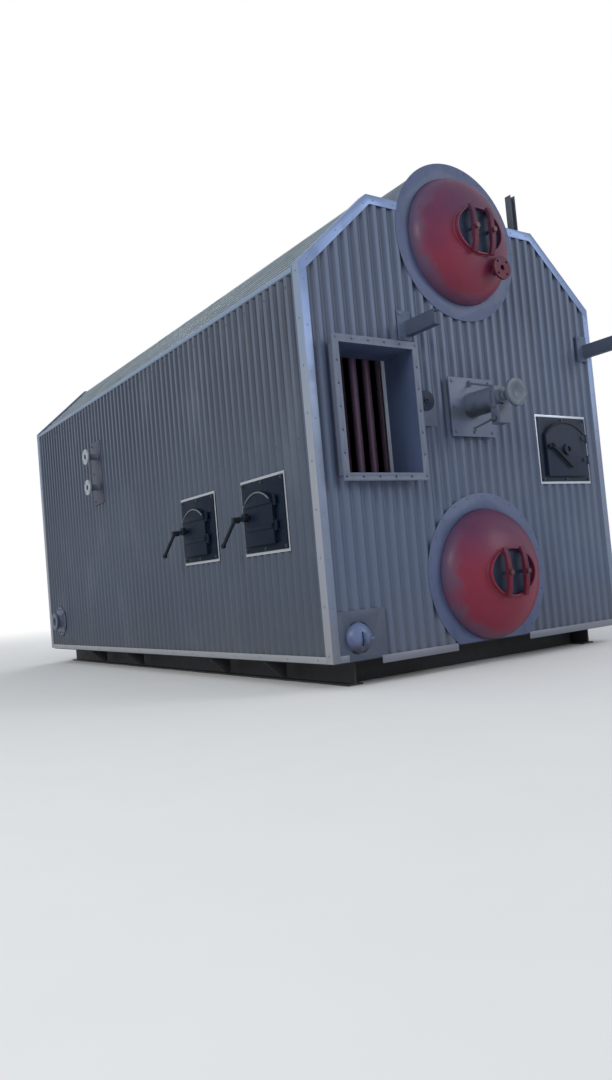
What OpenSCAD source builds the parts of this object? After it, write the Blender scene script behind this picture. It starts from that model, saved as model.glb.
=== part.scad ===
// Upper body of a double-drum water-tube boiler, insulated and clad in ribbed sheet.
// Millimetres. Origin at the middle of the skids' underside, Z up.
// The outlet end, with both manholes, faces -Y; the side with the two furnace doors faces -X.

/* [Casing] */
// Width over the rib crests of the side walls
body_w = 2884; // [2700:2:3100]
// Length over the rib crests of the end walls
body_l = 5740; // [5600:10:6000]
// Height of the gable shoulder above the deck
eave_h = 2566; // [2500:2:2640]
// Height of the gable top above the deck
ridge_h = 3118; // [3060:2:3180]
// Width of the flat top between the two ridges
ridge_w = 1665; // [1580:5:1720]
// Thickness of an insulated wall, rib crest to inner plate
wall_t = 80; // [60:5:90]
// Distance from rib to rib
rib_pitch = 90; // [80:1:100]
// Depth of the grooves between the ribs
rib_depth = 18; // [10:1:24]

/* [Skids] */
// Height from the ground to the top of the deck plate
base_h = 170; // [140:5:220]
// Distance from the casing's side to the middle of a skid beam
skid_inset = 252; // [242:2:300]

/* [Drums] */
// Outside diameter of both drums
drum_d = 936; // [916:4:944]
// Drum shell thickness
drum_t = 18; // [12:1:24]
// Depth of the upper drum's axis below the ridges
axis_drop = 206; // [198:2:222]
// Height of the lower drum's axis above the deck
lower_z = 472; // [472:1:480]
// Outside diameter of the flat rings round the drum heads
ring_d = 1174; // [1150:4:1190]
// Long axis of the manhole opening
manhole_a = 420; // [400:5:440]
// Short axis of the manhole opening
manhole_b = 320; // [300:5:340]

/* [Flue outlet] */
// Clear width of the flue outlet
flue_w = 626; // [580:2:660]
// Clear height of the flue outlet
flue_h = 846; // [800:2:880]
// Width of the flue flange's angle iron
flue_leg = 52; // [45:1:60]
// Radius of a flue flange bolt hole
flue_hole_r = 8; // [6:0.5:10]

/* [Doors] */
// Width of a side door's frame
side_door_w = 560; // [540:5:580]
// Height of a side door's frame
side_door_h = 500; // [480:5:520]
// Width of the end door's frame
end_door_w = 570; // [550:5:580]
// Height of the end door's frame
end_door_h = 505; // [490:5:520]

/* [Tube bank] */
// Outside diameter of a bank tube
tube_d = 57; // [51:1:63]
// Distance between tubes across the boiler
tube_pitch = 123; // [115:1:130]

/* [Nozzles] */
// Outside diameter of the side nozzle flanges
nozzle_flange_d = 154; // [146:2:160]
// Bore of the side nozzles
nozzle_bore = 52; // [40:2:60]
// Bolt circle of the side nozzle flanges
nozzle_pcd = 112; // [108:1:116]

/* [Hidden] */
$fn = 48;
hw = body_w / 2;
hl = body_l / 2;
z0 = base_h;
skid_gauge = body_w - 2 * skid_inset;
upper_z = ridge_h - axis_drop;
y_in = hl - wall_t;
fit = 0.3;
seam = 0.4;
sheet = 3;

// Ribbed sheet
groove_floor = 0.26 * rib_pitch;
groove_slope = 0.18 * rib_pitch;
rib_margin = 45;
side_n = floor((body_l - 2 * rib_margin) / rib_pitch);
end_n = floor((body_w - 2 * rib_margin) / rib_pitch);

// Folded trims
corner_w = 58;
corner_l = 72;
rake_band = 63;
foot_h = 45;

// Roof
roof_drop = 16;
slope_t = 80;
flat_t = 60;
wall_top = eave_h - roof_drop - 30;
hump_r = ring_d / 2 - 20;
hump_t = 40;
flat_z = ridge_h - roof_drop;
flat_x = sqrt(pow(hump_r - hump_t, 2) - pow(flat_z - upper_z, 2)) - 9;
rise = (ridge_h - eave_h) / (hw - ridge_w / 2);
slope_l = sqrt(pow(ridge_h - eave_h, 2) + pow(hw - ridge_w / 2, 2));

// Drums
drum_r = drum_d / 2;
drum_in = drum_r - drum_t;
head_h = drum_d / 4;
head_skirt = 60;
head_t = 22;
hole_r = drum_r + fit;
neck_w = 13;

// Flue outlet, centred on flue_x and flue_z, its flange face at flue_y
flue_x = -hw + 508;
flue_z = z0 + 1615;
flue_y = -hl - 90;
flue_back = -hl + 220;
flue_plate = 8;
flue_ox = flue_w / 2 + flue_leg;
flue_oz = flue_h / 2 + flue_leg;
flue_bx = flue_w / 2 + flue_leg / 2;
flue_bz = flue_h / 2 + flue_leg / 2;
flue_nx = 5;
flue_nz = 6;

// Doors: middle of each frame
end_door_x = hw - 479;
end_door_z = z0 + 1391;
near_y = -hl + 663;
far_y = -hl + 1660;
side_door_z = z0 + 1011;
trim_h = 20;
trim_w = 15;
leaf_gap = 6;
leaf_t = 24;
frame_proud = 10;
pin_r = 7;
knuckle_r = 13;
knuckle_h = 44;
hinge_z = 85;

// Soot blower
blower_x = -45;
blower_z = z0 + 1676;
blower_plate = 428;
blower_y = -hl - 40;
blower_r = 88;
lance_x = blower_x - 2;
lance_z = blower_z + 14;

// Lower headers
header_x = -hw + 212;
header_z = z0 + 144;
header_r = 97;
notch = [header_x - 83, header_x + 181];

// Tubes between the drums: heights of the two bends, first column and first row
low_bend = lower_z + 658;
high_bend = upper_z - 672;
tube_x = 533;
tube_y = -hl + 380;
row_pitch = 150;

// Fittings on the left wall and the outlet end
pad_y = -hl + 3672;
pad_w = 270;
pad_z = z0 + 1485;
pad_h = 630;
nozzle_y = -hl + 3790;
nozzle_z = [1650, 1958];
low_port_y = -hl + 5310;
low_port_z = z0 + 315;
sight_x = flue_x + 471;
sight_z = z0 + 1712;
bracket_x = [flue_x + 367, hw - corner_w - 30];
post_x = ridge_w / 2 - 54;
bracket_z = z0 + eave_h - 411;

// Base
deck_t = 10;
skid_w = 120;
skid_end = 120;
beam_pitch = 860;
gusset_y = [860, 1700, 3450, 4450];

// Shared shapes
function groove(c) = [
  [c - groove_floor / 2 - groove_slope, 0],
  [c - groove_floor / 2, rib_depth],
  [c + groove_floor / 2, rib_depth],
  [c + groove_floor / 2 + groove_slope, 0]
];

// Ribbed outline: crests on y = 0, inner face on y = t, n grooves about x = 0
module ribbed(len, t, n) {
  polygon(concat(
    [[-len / 2, t], [-len / 2, 0]],
    [for (k = [0 : n - 1]) each groove((k - (n - 1) / 2) * rib_pitch)],
    [[len / 2, 0], [len / 2, t]]
  ));
}

module both_sides() {
  children();
  mirror([1, 0, 0]) children();
}

module both_ends() {
  children();
  mirror([0, 1, 0]) children();
}

module box(lo, hi) {
  translate(lo) cube(hi - lo);
}

// Cylinder along Y from y = a to y = b
module rod_y(r, a, b) {
  translate([0, a, 0]) rotate([-90, 0, 0]) cylinder(r = r, h = b - a);
}

// Cylinder along X from x = a to x = b
module rod_x(r, a, b) {
  translate([a, 0, 0]) rotate([0, 90, 0]) cylinder(r = r, h = b - a);
}

// Oval with half axes a and b
module oval(a, b) {
  polygon([for (i = [0 : 71]) [a * cos(5 * i), b * sin(5 * i)]]);
}

function gable() = [
  [-hw, 0], [hw, 0], [hw, eave_h], [ridge_w / 2, ridge_h],
  [-ridge_w / 2, ridge_h], [-hw, eave_h]
];

// Stands a drawing in (x, z) upright; it runs back from y = 0 towards +Y
module upright(depth) {
  translate([0, depth, 0]) rotate([90, 0, 0]) linear_extrude(depth) children();
}

// Base
module base_skids() {
  color([0.12, 0.12, 0.13])
  both_sides()
  translate([skid_gauge / 2, 0, 0])
  rotate([90, 0, 0])
  linear_extrude(body_l - 2 * skid_end, center = true)
  difference() {
    translate([-skid_w / 2, 0]) square([skid_w, z0 - deck_t]);
    for (s = [0, 1])
      mirror([s, 0])
      translate([8, 12]) square([skid_w, z0 - deck_t - 24]);
  }
}

module base_cross_beams() {
  color([0.12, 0.12, 0.13])
  for (k = [-3 : 3])
    translate([-skid_gauge / 2 + skid_w / 2, k * beam_pitch - 40, 0])
    difference() {
      cube([skid_gauge - skid_w, 80, z0 - deck_t]);
      translate([-1, 8, 10]) cube([skid_gauge, 80, z0 - deck_t - 20]);
    }
}

module base_gussets() {
  reach = hw - skid_gauge / 2 - skid_w / 2 - 25;
  color([0.12, 0.12, 0.13])
  both_sides()
  for (y = gusset_y)
    translate([skid_gauge / 2 + skid_w / 2, -hl + y + 5, z0 - deck_t])
    rotate([90, 0, 0])
    linear_extrude(10)
    polygon([[0, 0], [reach, 0], [reach, -18], [40, -z0 + 40], [0, -z0 + 40]]);
}

module deck_plate() {
  color([0.12, 0.12, 0.13])
  box([-hw + rib_depth + 2, -hl + rib_depth + 2, z0 - deck_t],
      [hw - rib_depth - 2, hl - rib_depth - 2, z0]);
}

// Walls
module side_wall() {
  translate([0, 0, z0])
  linear_extrude(wall_top)
  intersection() {
    translate([-hw, 0]) rotate([0, 0, -90]) ribbed(body_l, wall_t, side_n);
    square([3 * body_w, 2 * y_in], center = true);
  }
}

module side_wall_left() {
  dlo = side_door_z - side_door_h / 2;
  dhi = side_door_z + side_door_h / 2;
  y1 = near_y - side_door_w / 2;
  y2 = near_y + side_door_w / 2;
  y3 = far_y - side_door_w / 2;
  y4 = far_y + side_door_w / 2;
  bands = [
    [[-y_in, z0], [y4 + seam, dlo]],
    [[-y_in, dhi], [y4 + seam, z0 + wall_top]],
    [[-y_in, dlo + seam], [y1, dhi - seam]],
    [[y2, dlo + seam], [y3, dhi - seam]],
    [[y4 + 2 * seam, z0], [y_in, z0 + wall_top]]
  ];
  color([0.36, 0.40, 0.45])
  for (b = bands)
    intersection() {
      side_wall();
      box([-2 * hw, b[0].x, b[0].y], [0, b[1].x, b[1].y]);
    }
}

module side_wall_right() {
  color([0.36, 0.40, 0.45]) mirror([1, 0, 0]) side_wall();
}

module end_wall_full() {
  translate([0, -hl, 0])
  difference() {
    intersection() {
      linear_extrude(2 * body_w) ribbed(body_w, wall_t, end_n);
      translate([0, -1, z0])
      upright(wall_t + 2)
      union() {
        polygon(gable());
        translate([0, upper_z]) circle(r = hump_r, $fn = 96);
      }
    }
    for (z = [upper_z, lower_z])
      translate([0, 0, z0 + z]) rod_y(hole_r, -1, wall_t + 1);
  }
}

module end_wall_outlet() {
  fx1 = flue_x - flue_w / 2 - flue_plate;
  fx2 = flue_x + flue_w / 2 + flue_plate;
  fz1 = flue_z - flue_h / 2 - flue_plate;
  fz2 = flue_z + flue_h / 2 + flue_plate;
  dx1 = end_door_x - end_door_w / 2;
  dx2 = end_door_x + end_door_w / 2;
  dz1 = end_door_z - end_door_h / 2;
  dz2 = end_door_z + end_door_h / 2;
  mid = (fx2 + dx1) / 2;
  top = z0 + 2 * body_w;
  panels = [
    [[-body_w, z0], [mid, fz1]],
    [[mid + seam, z0], [body_w, dz1]],
    [[-body_w, fz1 + seam], [fx1, fz2]],
    [[fx2, fz1 + seam], [mid, fz2]],
    [[mid + seam, dz1 + seam], [dx1, fz2]],
    [[dx2, dz1 + seam], [body_w, dz2]],
    [[dx1 + seam, dz2 + seam], [body_w, fz2]],
    [[-body_w, fz2 + seam], [body_w, z0 + ridge_h]],
    [[-body_w, z0 + ridge_h + seam], [body_w, top]]
  ];
  color([0.40, 0.43, 0.49])
  difference() {
    for (b = panels)
      intersection() {
        end_wall_full();
        box([b[0].x, -2 * hl, b[0].y], [b[1].x, 0, b[1].y]);
      }
    box([fx1, -2 * hl, fz1], [fx2, 0, fz2]);
    box([dx1, -2 * hl, dz1], [dx2, 0, dz2]);
    translate([header_x, 0, header_z]) rod_y(header_r + fit, -2 * hl, 0);
  }
}

module end_wall_feed() {
  top = z0 + 2 * body_w;
  color([0.40, 0.43, 0.49])
  difference() {
    for (z = [[z0, z0 + ridge_h], [z0 + ridge_h + seam, top]])
      intersection() {
        mirror([0, 1, 0]) end_wall_full();
        box([-body_w, 0, z[0]], [body_w, 2 * hl, z[1]]);
      }
    translate([header_x, 0, header_z]) rod_y(header_r + fit, 0, 2 * hl);
    translate([-header_x, 0, header_z]) rod_y(header_r + fit, 0, 2 * hl);
  }
}

// Roof
// Cross-section of one slope: grooves run along the boiler
module slope_section() {
  u = [-(hw - ridge_w / 2), ridge_h - eave_h] / slope_l;
  n = [u.y, -u.x];
  start = [hw, eave_h - roof_drop];
  ng = floor((slope_l - 2 * rib_margin) / rib_pitch);
  first = (slope_l - (ng - 1) * rib_pitch) / 2;
  low = eave_h - roof_drop - slope_t * 1.35;
  polygon(concat(
    [[hw, wall_top], start],
    [for (k = [0 : ng - 1])
      each [for (g = groove(first + k * rib_pitch)) start + g.x * u - g.y * n]],
    [
      [ridge_w / 2, ridge_h - roof_drop],
      [ridge_w / 2, low + ridge_h - eave_h],
      [hw - (wall_top - low) / rise, wall_top]
    ]
  ));
}

module roof_slopes() {
  color([0.52, 0.56, 0.54])
  both_sides()
  translate([0, -y_in, z0])
  upright(2 * y_in)
  slope_section();
}

module roof_flats() {
  w = ridge_w / 2 - flat_x;
  n = floor((w - 2 * rib_margin - hump_t) / rib_pitch);
  c = flat_x + w / 2 + hump_t / 2;
  color([0.52, 0.56, 0.54])
  both_sides()
  translate([0, -y_in, z0])
  upright(2 * y_in)
  polygon(concat(
    [[flat_x, flat_z - flat_t], [flat_x, flat_z]],
    [for (k = [0 : n - 1])
      each [for (g = groove(c + (k - (n - 1) / 2) * rib_pitch)) [g.x, flat_z - g.y]]],
    [[ridge_w / 2, flat_z], [ridge_w / 2, flat_z - flat_t]]
  ));
}

module drum_casing() {
  color([0.52, 0.56, 0.54])
  translate([0, -y_in, z0])
  upright(2 * y_in)
  difference() {
    translate([0, upper_z]) circle(r = hump_r, $fn = 96);
    translate([0, upper_z]) circle(r = hump_r - hump_t, $fn = 96);
    translate([-body_w, flat_z - 2 * body_w]) square(2 * body_w);
  }
}

// Trims
module corner_trims() {
  slant = rake_band * sqrt(1 + rise * rise) + fit;
  color([0.62, 0.65, 0.68])
  both_ends()
  both_sides()
  translate([0, 0, z0]) {
    translate([0, -hl - sheet, 0])
    upright(sheet)
    polygon([
      [hw - corner_w, 0], [hw + sheet, 0], [hw + sheet, eave_h], [hw, eave_h],
      [hw, eave_h - slant], [hw - corner_w, eave_h - slant + corner_w * rise]
    ]);
    translate([hw, -hl, 0]) cube([sheet, corner_l, eave_h]);
  }
}

module rake_trims() {
  band = rake_band;
  slant = band * sqrt(1 + rise * rise);
  bend = band * (sqrt(1 + rise * rise) - 1) / rise;
  face = [
    [hw, eave_h - slant], [hw, eave_h], [ridge_w / 2, ridge_h], [0, ridge_h],
    [0, ridge_h - band], [ridge_w / 2 - bend, ridge_h - band]
  ];
  cap = [
    [hw, eave_h], [hw + sheet, eave_h], [hw + sheet, eave_h + 1],
    [ridge_w / 2 + 1, ridge_h + sheet], [0, ridge_h + sheet], [0, ridge_h],
    [ridge_w / 2, ridge_h]
  ];
  color([0.62, 0.65, 0.68])
  both_ends()
  both_sides()
  difference() {
    union() {
      translate([0, -hl - sheet, z0]) upright(sheet) polygon(face);
      translate([0, -hl - sheet, z0]) upright(wall_t + sheet) polygon(cap);
    }
    translate([0, 0, z0 + upper_z]) rod_y(ring_d / 2 + fit, -hl - 10, -hl);
    translate([0, 0, z0 + upper_z]) rod_y(hump_r + fit, -hl - 1, -hl + wall_t + 10);
  }
}

module eave_trims() {
  u = [-(hw - ridge_w / 2), ridge_h - eave_h] / slope_l;
  n = [u.y, -u.x];
  start = [hw + fit, eave_h - roof_drop + fit];
  color([0.62, 0.65, 0.68])
  both_sides()
  translate([0, -y_in, z0])
  upright(2 * y_in)
  polygon([
    start + [0, -26], start, start + 30 * u, start + 30 * u + sheet * n,
    start + [sheet, 1], start + [sheet, -26]
  ]);
}

// Strips at the casing's foot; those of the outlet end hang lower right of the header
module bottom_trims() {
  x1 = sqrt(pow(ring_d / 2, 2) - pow(lower_z - foot_h, 2)) + 2;
  x2 = sqrt(pow(ring_d / 2, 2) - pow(lower_z - 12, 2)) + 2;
  x3 = hw - corner_w - fit;
  color([0.62, 0.65, 0.68])
  translate([0, 0, z0]) {
    both_sides()
    box([hw, -hl + corner_l + fit, 0], [hw + sheet, hl - corner_l - fit, foot_h]);
    translate([0, -hl - sheet, 0]) {
      box([-x3, 0, 0], [notch[0], sheet, foot_h]);
      box([notch[1], 0, -40], [-x2, sheet, 12]);
      box([x2, 0, -40], [x3, sheet, 12]);
    }
    both_sides()
    difference() {
      box([x1, hl, 0], [x3, hl + sheet, foot_h]);
      translate([-header_x, 0, header_z - z0]) rod_y(header_r + 14, hl - 10, hl + 10);
    }
  }
}

// Flat sheet over the ribs round the header of the outlet end
module header_cover() {
  left = -hw + corner_w + fit;
  color([0.36, 0.40, 0.46])
  translate([0, -hl - sheet, z0])
  difference() {
    box([left, 0, 0], [left + 386, sheet, 320]);
    translate([header_x, 0, header_z - z0]) rod_y(header_r + 8, -1, sheet + 1);
    box([left - 1, -1, -1], [notch[0] + fit, sheet + 1, foot_h + fit]);
    box([notch[1] - fit, -1, -1], [left + 400, sheet + 1, 12 + fit]);
  }
}

// Drums
module drum_shell(z) {
  translate([0, 0, z0 + z])
  difference() {
    rod_y(drum_r, -hl + head_skirt, hl - head_skirt);
    rod_y(drum_in, -hl, hl);
  }
}

module upper_drum_shell() {
  color([0.30, 0.12, 0.10]) drum_shell(upper_z);
}

module lower_drum_shell() {
  color([0.30, 0.12, 0.10]) drum_shell(lower_z);
}

function bowl(r, h) = [for (i = [0 : 18]) [r * cos(5 * i), h * sin(5 * i)]];

// Dished head with its skirt, crown towards -Y, tangent line on y = 0
module head_solid() {
  difference() {
    rotate([90, 0, 0])
    rotate_extrude($fn = 96)
    union() {
      polygon(concat([[0, 0]], bowl(drum_r, head_h)));
      translate([0, -head_skirt]) square([drum_r, head_skirt]);
    }
    rotate([90, 0, 0])
    rotate_extrude($fn = 96)
    polygon(concat([[0, -head_skirt - 1], [drum_in, -head_skirt - 1]],
      bowl(drum_in, head_h - head_t)));
  }
}

module drum_heads_outlet() {
  color([0.70, 0.10, 0.10])
  for (z = [upper_z, lower_z])
    translate([0, -hl, z0 + z])
    difference() {
      union() {
        head_solid();
        translate([0, -head_h - 8, 0])
        upright(60)
        oval(manhole_a / 2 + neck_w, manhole_b / 2 + neck_w);
      }
      translate([0, -head_h - 20, 0]) upright(200) oval(manhole_a / 2, manhole_b / 2);
      rotate([90, 0, 0])
      rotate_extrude($fn = 96)
      polygon(concat([[0, -head_skirt - 1], [drum_in, -head_skirt - 1]],
        bowl(drum_in, head_h - head_t)));
      if (z == upper_z)
        translate([180, 0, -250]) rod_y(30, -head_h, 0);
    }
}

module drum_heads_feed() {
  color([0.70, 0.10, 0.10])
  for (z = [upper_z, lower_z])
    translate([0, hl, z0 + z]) mirror([0, 1, 0]) head_solid();
}

module drum_cover_rings() {
  color([0.40, 0.42, 0.45])
  both_ends()
  for (z = [upper_z, lower_z])
    translate([0, -hl - 4, z0 + z])
    intersection() {
      difference() {
        rod_y(ring_d / 2, 0, 4);
        rod_y(hole_r + 2, -1, 5);
      }
      box([-body_w, -1, -z], [body_w, 5, body_w]);
    }
}

module manhole_covers() {
  color([0.62, 0.09, 0.09])
  for (z = [upper_z, lower_z])
    translate([0, -hl - head_h + 18, z0 + z]) {
      upright(28) oval(manhole_a / 2 - fit, manhole_b / 2 - fit);
      for (s = [-1, 1])
        translate([s * 86, 0, 0]) rod_y(12, -75, 1);
    }
}

module manhole_yokes() {
  color([0.55, 0.08, 0.08])
  for (z = [upper_z, lower_z])
    for (s = [-1, 1])
      translate([s * 86, -hl - head_h - 8, z0 + z])
        difference() {
          rotate([0, 90, 0])
          linear_extrude(36, center = true)
          polygon([
            [-160 - neck_w, 0], [-160 - neck_w, -14], [-120, -34], [-40, -44], [40, -44],
            [120, -34], [160 + neck_w, -14], [160 + neck_w, 0], [132, 0], [100, -12],
            [-100, -12], [-132, 0]
          ]);
          rod_y(12.5, -60, 10);
        }
}

module head_nozzle() {
  color([0.62, 0.09, 0.09])
  translate([180, -hl, z0 + upper_z - 250])
  difference() {
    union() {
      rod_y(30 - fit, -head_h, -80);
      rod_y(85, -head_h - 18, -head_h);
    }
    rod_y(20, -head_h - 30, 0);
    for (a = [45 : 90 : 315])
      rotate([0, a, 0]) translate([62, 0, 0]) rod_y(9, -head_h - 30, -head_h + 1);
  }
}

module drum_saddles() {
  color([0.2, 0.2, 0.2])
  for (y = [-2200, -740, 740, 2200])
    translate([0, y - 20, z0])
    difference() {
      box([-330, 0, 0], [330, 40, 150]);
      translate([0, 0, lower_z]) rod_y(drum_r + fit, -1, 41);
    }
}

// Straight length of a tube from a drum's axis height to a bend at (x, bend), clear of both
module tube_run(x, axis, bend) {
  difference() {
    translate([0, 0, axis])
    rotate([0, 90 - atan2(bend - axis, x), 0])
    cylinder(d = tube_d, h = norm([x, bend - axis]));
    translate([x, 0, bend]) sphere(d = tube_d + 4 + 2 * seam);
    translate([0, 0, axis]) rod_y(drum_r + fit, -tube_d, tube_d);
  }
}

// A tube leaves the lower drum radially, stands upright and bends into the upper drum
module bank_tube(x) {
  translate([x, 0, low_bend]) cylinder(d = tube_d, h = high_bend - low_bend);
  for (z = [low_bend, high_bend])
    translate([x, 0, z]) sphere(d = tube_d + 4);
  tube_run(x, lower_z, low_bend);
  tube_run(x, upper_z, high_bend);
}

module bank_tubes() {
  color([0.38, 0.14, 0.10])
  for (row = [0 : 1])
    for (k = [0 : 2])
      for (s = [-1, 1])
        translate([0, tube_y + row * row_pitch, z0])
        bank_tube(s * (tube_x + k * tube_pitch));
}

// Flue outlet
module flue_duct() {
  w = flue_w + 2 * flue_plate;
  h = flue_h + 2 * flue_plate;
  color([0.36, 0.40, 0.45])
  translate([flue_x, 0, flue_z])
  difference() {
    box([-w / 2, flue_y + 6, -h / 2], [w / 2, flue_back, h / 2]);
    box([-flue_w / 2, flue_y - 1, -flue_h / 2], [flue_w / 2, flue_back + 1, flue_h / 2]);
  }
}

module flue_flange() {
  color([0.36, 0.40, 0.45])
  translate([flue_x, flue_y, flue_z])
  difference() {
    box([-flue_ox, 0, -flue_oz], [flue_ox, 6, flue_oz]);
    box([-flue_w / 2, -1, -flue_h / 2], [flue_w / 2, 7, flue_h / 2]);
    for (i = [0 : flue_nx])
      for (s = [-1, 1])
        translate([-flue_bx + i * 2 * flue_bx / flue_nx, 0, s * flue_bz])
        rod_y(flue_hole_r, -1, 7);
    for (i = [1 : flue_nz - 1])
      for (s = [-1, 1])
        translate([s * flue_bx, 0, -flue_bz + i * 2 * flue_bz / flue_nz])
        rod_y(flue_hole_r, -1, 7);
  }
}

// Doors, drawn with the wall's face on y = 0, outwards -Y and the hinge at +X
module door_frame(w, h, hx, oh, arch) {
  difference() {
    box([-w / 2, -frame_proud, -h / 2], [w / 2, wall_t, h / 2]);
    translate([0, -frame_proud - 1, 0])
    upright(frame_proud + wall_t + 2)
    intersection() {
      translate([-w / 2 + 95, -oh]) square([hx - 45 + w / 2 - 95, 2 * oh]);
      translate([arch.x, arch.y]) circle(r = arch[2] - 15, $fn = 96);
    }
  }
  for (s = [-1, 1])
    translate([hx, -frame_proud, s * hinge_z]) {
      for (d = [-1, 1])
        box([-14, -leaf_gap - leaf_t / 2 - pin_r - 4, d * (knuckle_h / 2 + 7) - 6],
            [14, 0, d * (knuckle_h / 2 + 7) + 6]);
      translate([0, -leaf_gap - leaf_t / 2, -knuckle_h / 2 - 8])
      cylinder(r = pin_r, h = knuckle_h + 16);
    }
}

// Middle (x, z) and radius of the arch of a leaf from x1 to its hinge, z2 high
function leaf_arch(x1, hx, z2, r) = [(x1 + hx - 24) / 2, z2 - r, r];

module door_leaf(x1, hx, z1, z2, arch) {
  w = hx - 24 - x1;
  yo = -frame_proud - leaf_gap;
  translate([0, yo - leaf_t, 0])
  upright(leaf_t)
  intersection() {
    translate([x1, z1]) square([w, z2 - z1]);
    translate([arch.x, arch.y]) circle(r = arch[2], $fn = 96);
  }
  for (s = [-1, 1])
    translate([hx, yo - leaf_t / 2, s * hinge_z])
    difference() {
      union() {
        cylinder(r = knuckle_r, h = knuckle_h, center = true);
        box([-70, -5, -16], [0, 5, 16]);
        box([-70, -leaf_t / 2 - 9, -16], [-30, 5, 16]);
      }
      cylinder(r = pin_r + 0.6, h = knuckle_h + 2, center = true);
    }
}

end_arch = leaf_arch(-235, 250, 215, 330);
side_arch = leaf_arch(-225, 190, 172, 250);

module end_door_frame() {
  color([0.07, 0.07, 0.08])
  translate([end_door_x, -hl, end_door_z])
  door_frame(end_door_w, end_door_h, 250, 190, end_arch);
}

module end_door() {
  color([0.09, 0.09, 0.10])
  translate([end_door_x, -hl, end_door_z])
  difference() {
    union() {
      door_leaf(-235, 250, -215, 215, end_arch);
      translate([-8, 0, -6]) rod_y(44, -frame_proud - leaf_gap - leaf_t - 26, -frame_proud - leaf_gap - 5);
      translate([-178, 0, 18]) rod_y(11, -frame_proud - leaf_gap - leaf_t - 40, -frame_proud - leaf_gap - 5);
    }
    translate([-8, 0, -6]) rod_y(22, -90, -frame_proud - leaf_gap - leaf_t - 12);
  }
}

module end_door_latch() {
  color([0.06, 0.06, 0.07])
  translate([end_door_x - 178, -hl - frame_proud - leaf_gap - leaf_t, end_door_z + 18])
  difference() {
    union() {
      rod_y(24, -30, -5);
      rotate([0, 38, 0]) box([0, -28, -11], [265, -14, 11]);
      box([-48, -22, -14], [0, -6, 14]);
    }
    rod_y(11.6, -40, 1);
  }
}

module side_place(y) {
  translate([-hw, y, side_door_z]) rotate([0, 0, -90]) children();
}

module side_door_frames() {
  color([0.07, 0.07, 0.08])
  for (y = [near_y, far_y])
    side_place(y) door_frame(side_door_w, side_door_h, 190, 165, side_arch);
}

module side_leaf() {
  yo = -frame_proud - leaf_gap;
  union() {
    door_leaf(-225, 190, -205, 172, side_arch);
    translate([-150, 0, 0]) rod_y(12, yo - leaf_t - 56, yo - 5);
    for (s = [-1, 1])
      translate([0, 0, s * hinge_z]) box([-190, yo - leaf_t - 9, -16], [125, yo - leaf_t + 5, 16]);
  }
}

module side_door_near() {
  color([0.09, 0.09, 0.10]) side_place(near_y) side_leaf();
}

module side_door_far() {
  color([0.09, 0.09, 0.10]) side_place(far_y) side_leaf();
}

// Cam lever: hub round the leaf's stud, a stub that steps out to a block,
// and an arm that slants down from the block to a ball
module side_lever() {
  root = [-66, -84, -16];
  tip = [-150, -140, -180];
  translate([-150, -frame_proud - leaf_gap - leaf_t, 0]) {
    difference() {
      union() {
        rod_y(30, -50, -14);
        box([-96, -26, -17], [-20, -14.5, 17]);
        box([-84, -50, -18], [-20, -30, 14]);
        box([-84, -98, -30], [-48, -46, 10]);
      }
      rod_y(12.8, -80, 1);
    }
    aim(root, tip) knobbed_bar(norm(tip - root), 13, 20);
  }
}

// Turns what stands on the XY plane so that it runs from point a towards point b
module aim(a, b) {
  p = b - a;
  translate(a) rotate([0, acos(p.z / norm(p)), atan2(p.y, p.x)]) children();
}

// Turned bar of radius r whose far end, at height len, is a round knob of radius knob
module knobbed_bar(len, r, knob) {
  from = acos(r / knob);
  rotate_extrude()
  polygon(concat(
    [[0, 0], [r, 0]],
    [for (i = [0 : 8])
      let (a = -from + i * (90 + from) / 8) [knob * cos(a), len + knob * sin(a)]]
  ));
}

module side_door_near_lever() {
  color([0.06, 0.06, 0.07]) side_place(near_y) side_lever();
}

module side_door_far_lever() {
  color([0.06, 0.06, 0.07]) side_place(far_y) side_lever();
}

module trim_frame(w, h) {
  translate([0, -sheet, 0])
  difference() {
    box([-w / 2 - trim_w, 0, -h / 2 - trim_h], [w / 2 + trim_w, sheet, h / 2 + trim_h]);
    box([-w / 2, -1, -h / 2], [w / 2, sheet + 1, h / 2]);
  }
}

module door_trims() {
  color([0.72, 0.75, 0.78]) {
    for (y = [near_y, far_y])
      side_place(y) trim_frame(side_door_w, side_door_h);
    translate([end_door_x, -hl, end_door_z]) trim_frame(end_door_w, end_door_h);
  }
}

// Soot blower: plate on a smaller packing, barrel, collar, valve neck, lever and hand wheel
module soot_blower_plate() {
  b = blower_plate / 2;
  color([0.42, 0.46, 0.52])
  translate([blower_x, 0, blower_z])
  union() {
    box([-b, blower_y, -b], [b, blower_y + 12, b]);
    box([-b + 25, blower_y + 10, -b + 25], [b - 25, -hl, b - 25]);
  }
}

module soot_blower_body() {
  from = [-15, -10, 158];
  to = [-15, -262, 74];
  color([0.40, 0.44, 0.50])
  translate([lance_x, blower_y, lance_z])
  union() {
    rod_y(blower_r + 8, -8, 0);
    rod_y(blower_r, -250, -10);
    box([-62, -276, -72], [62, -246, 72]);
    rod_y(54, -306, -270);
    box([-23, -22, 136], [-7, 0, 176]);
    aim(from, to) cylinder(r = 7, h = norm(to - from));
    box([-56, -302, -188], [50, -224, -60]);
    rod_y(34, -330, -300);
    rod_y(14, -404, -320);
    translate([0, -262, -150]) rod_x(8, -84, -50);
  }
}

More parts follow.
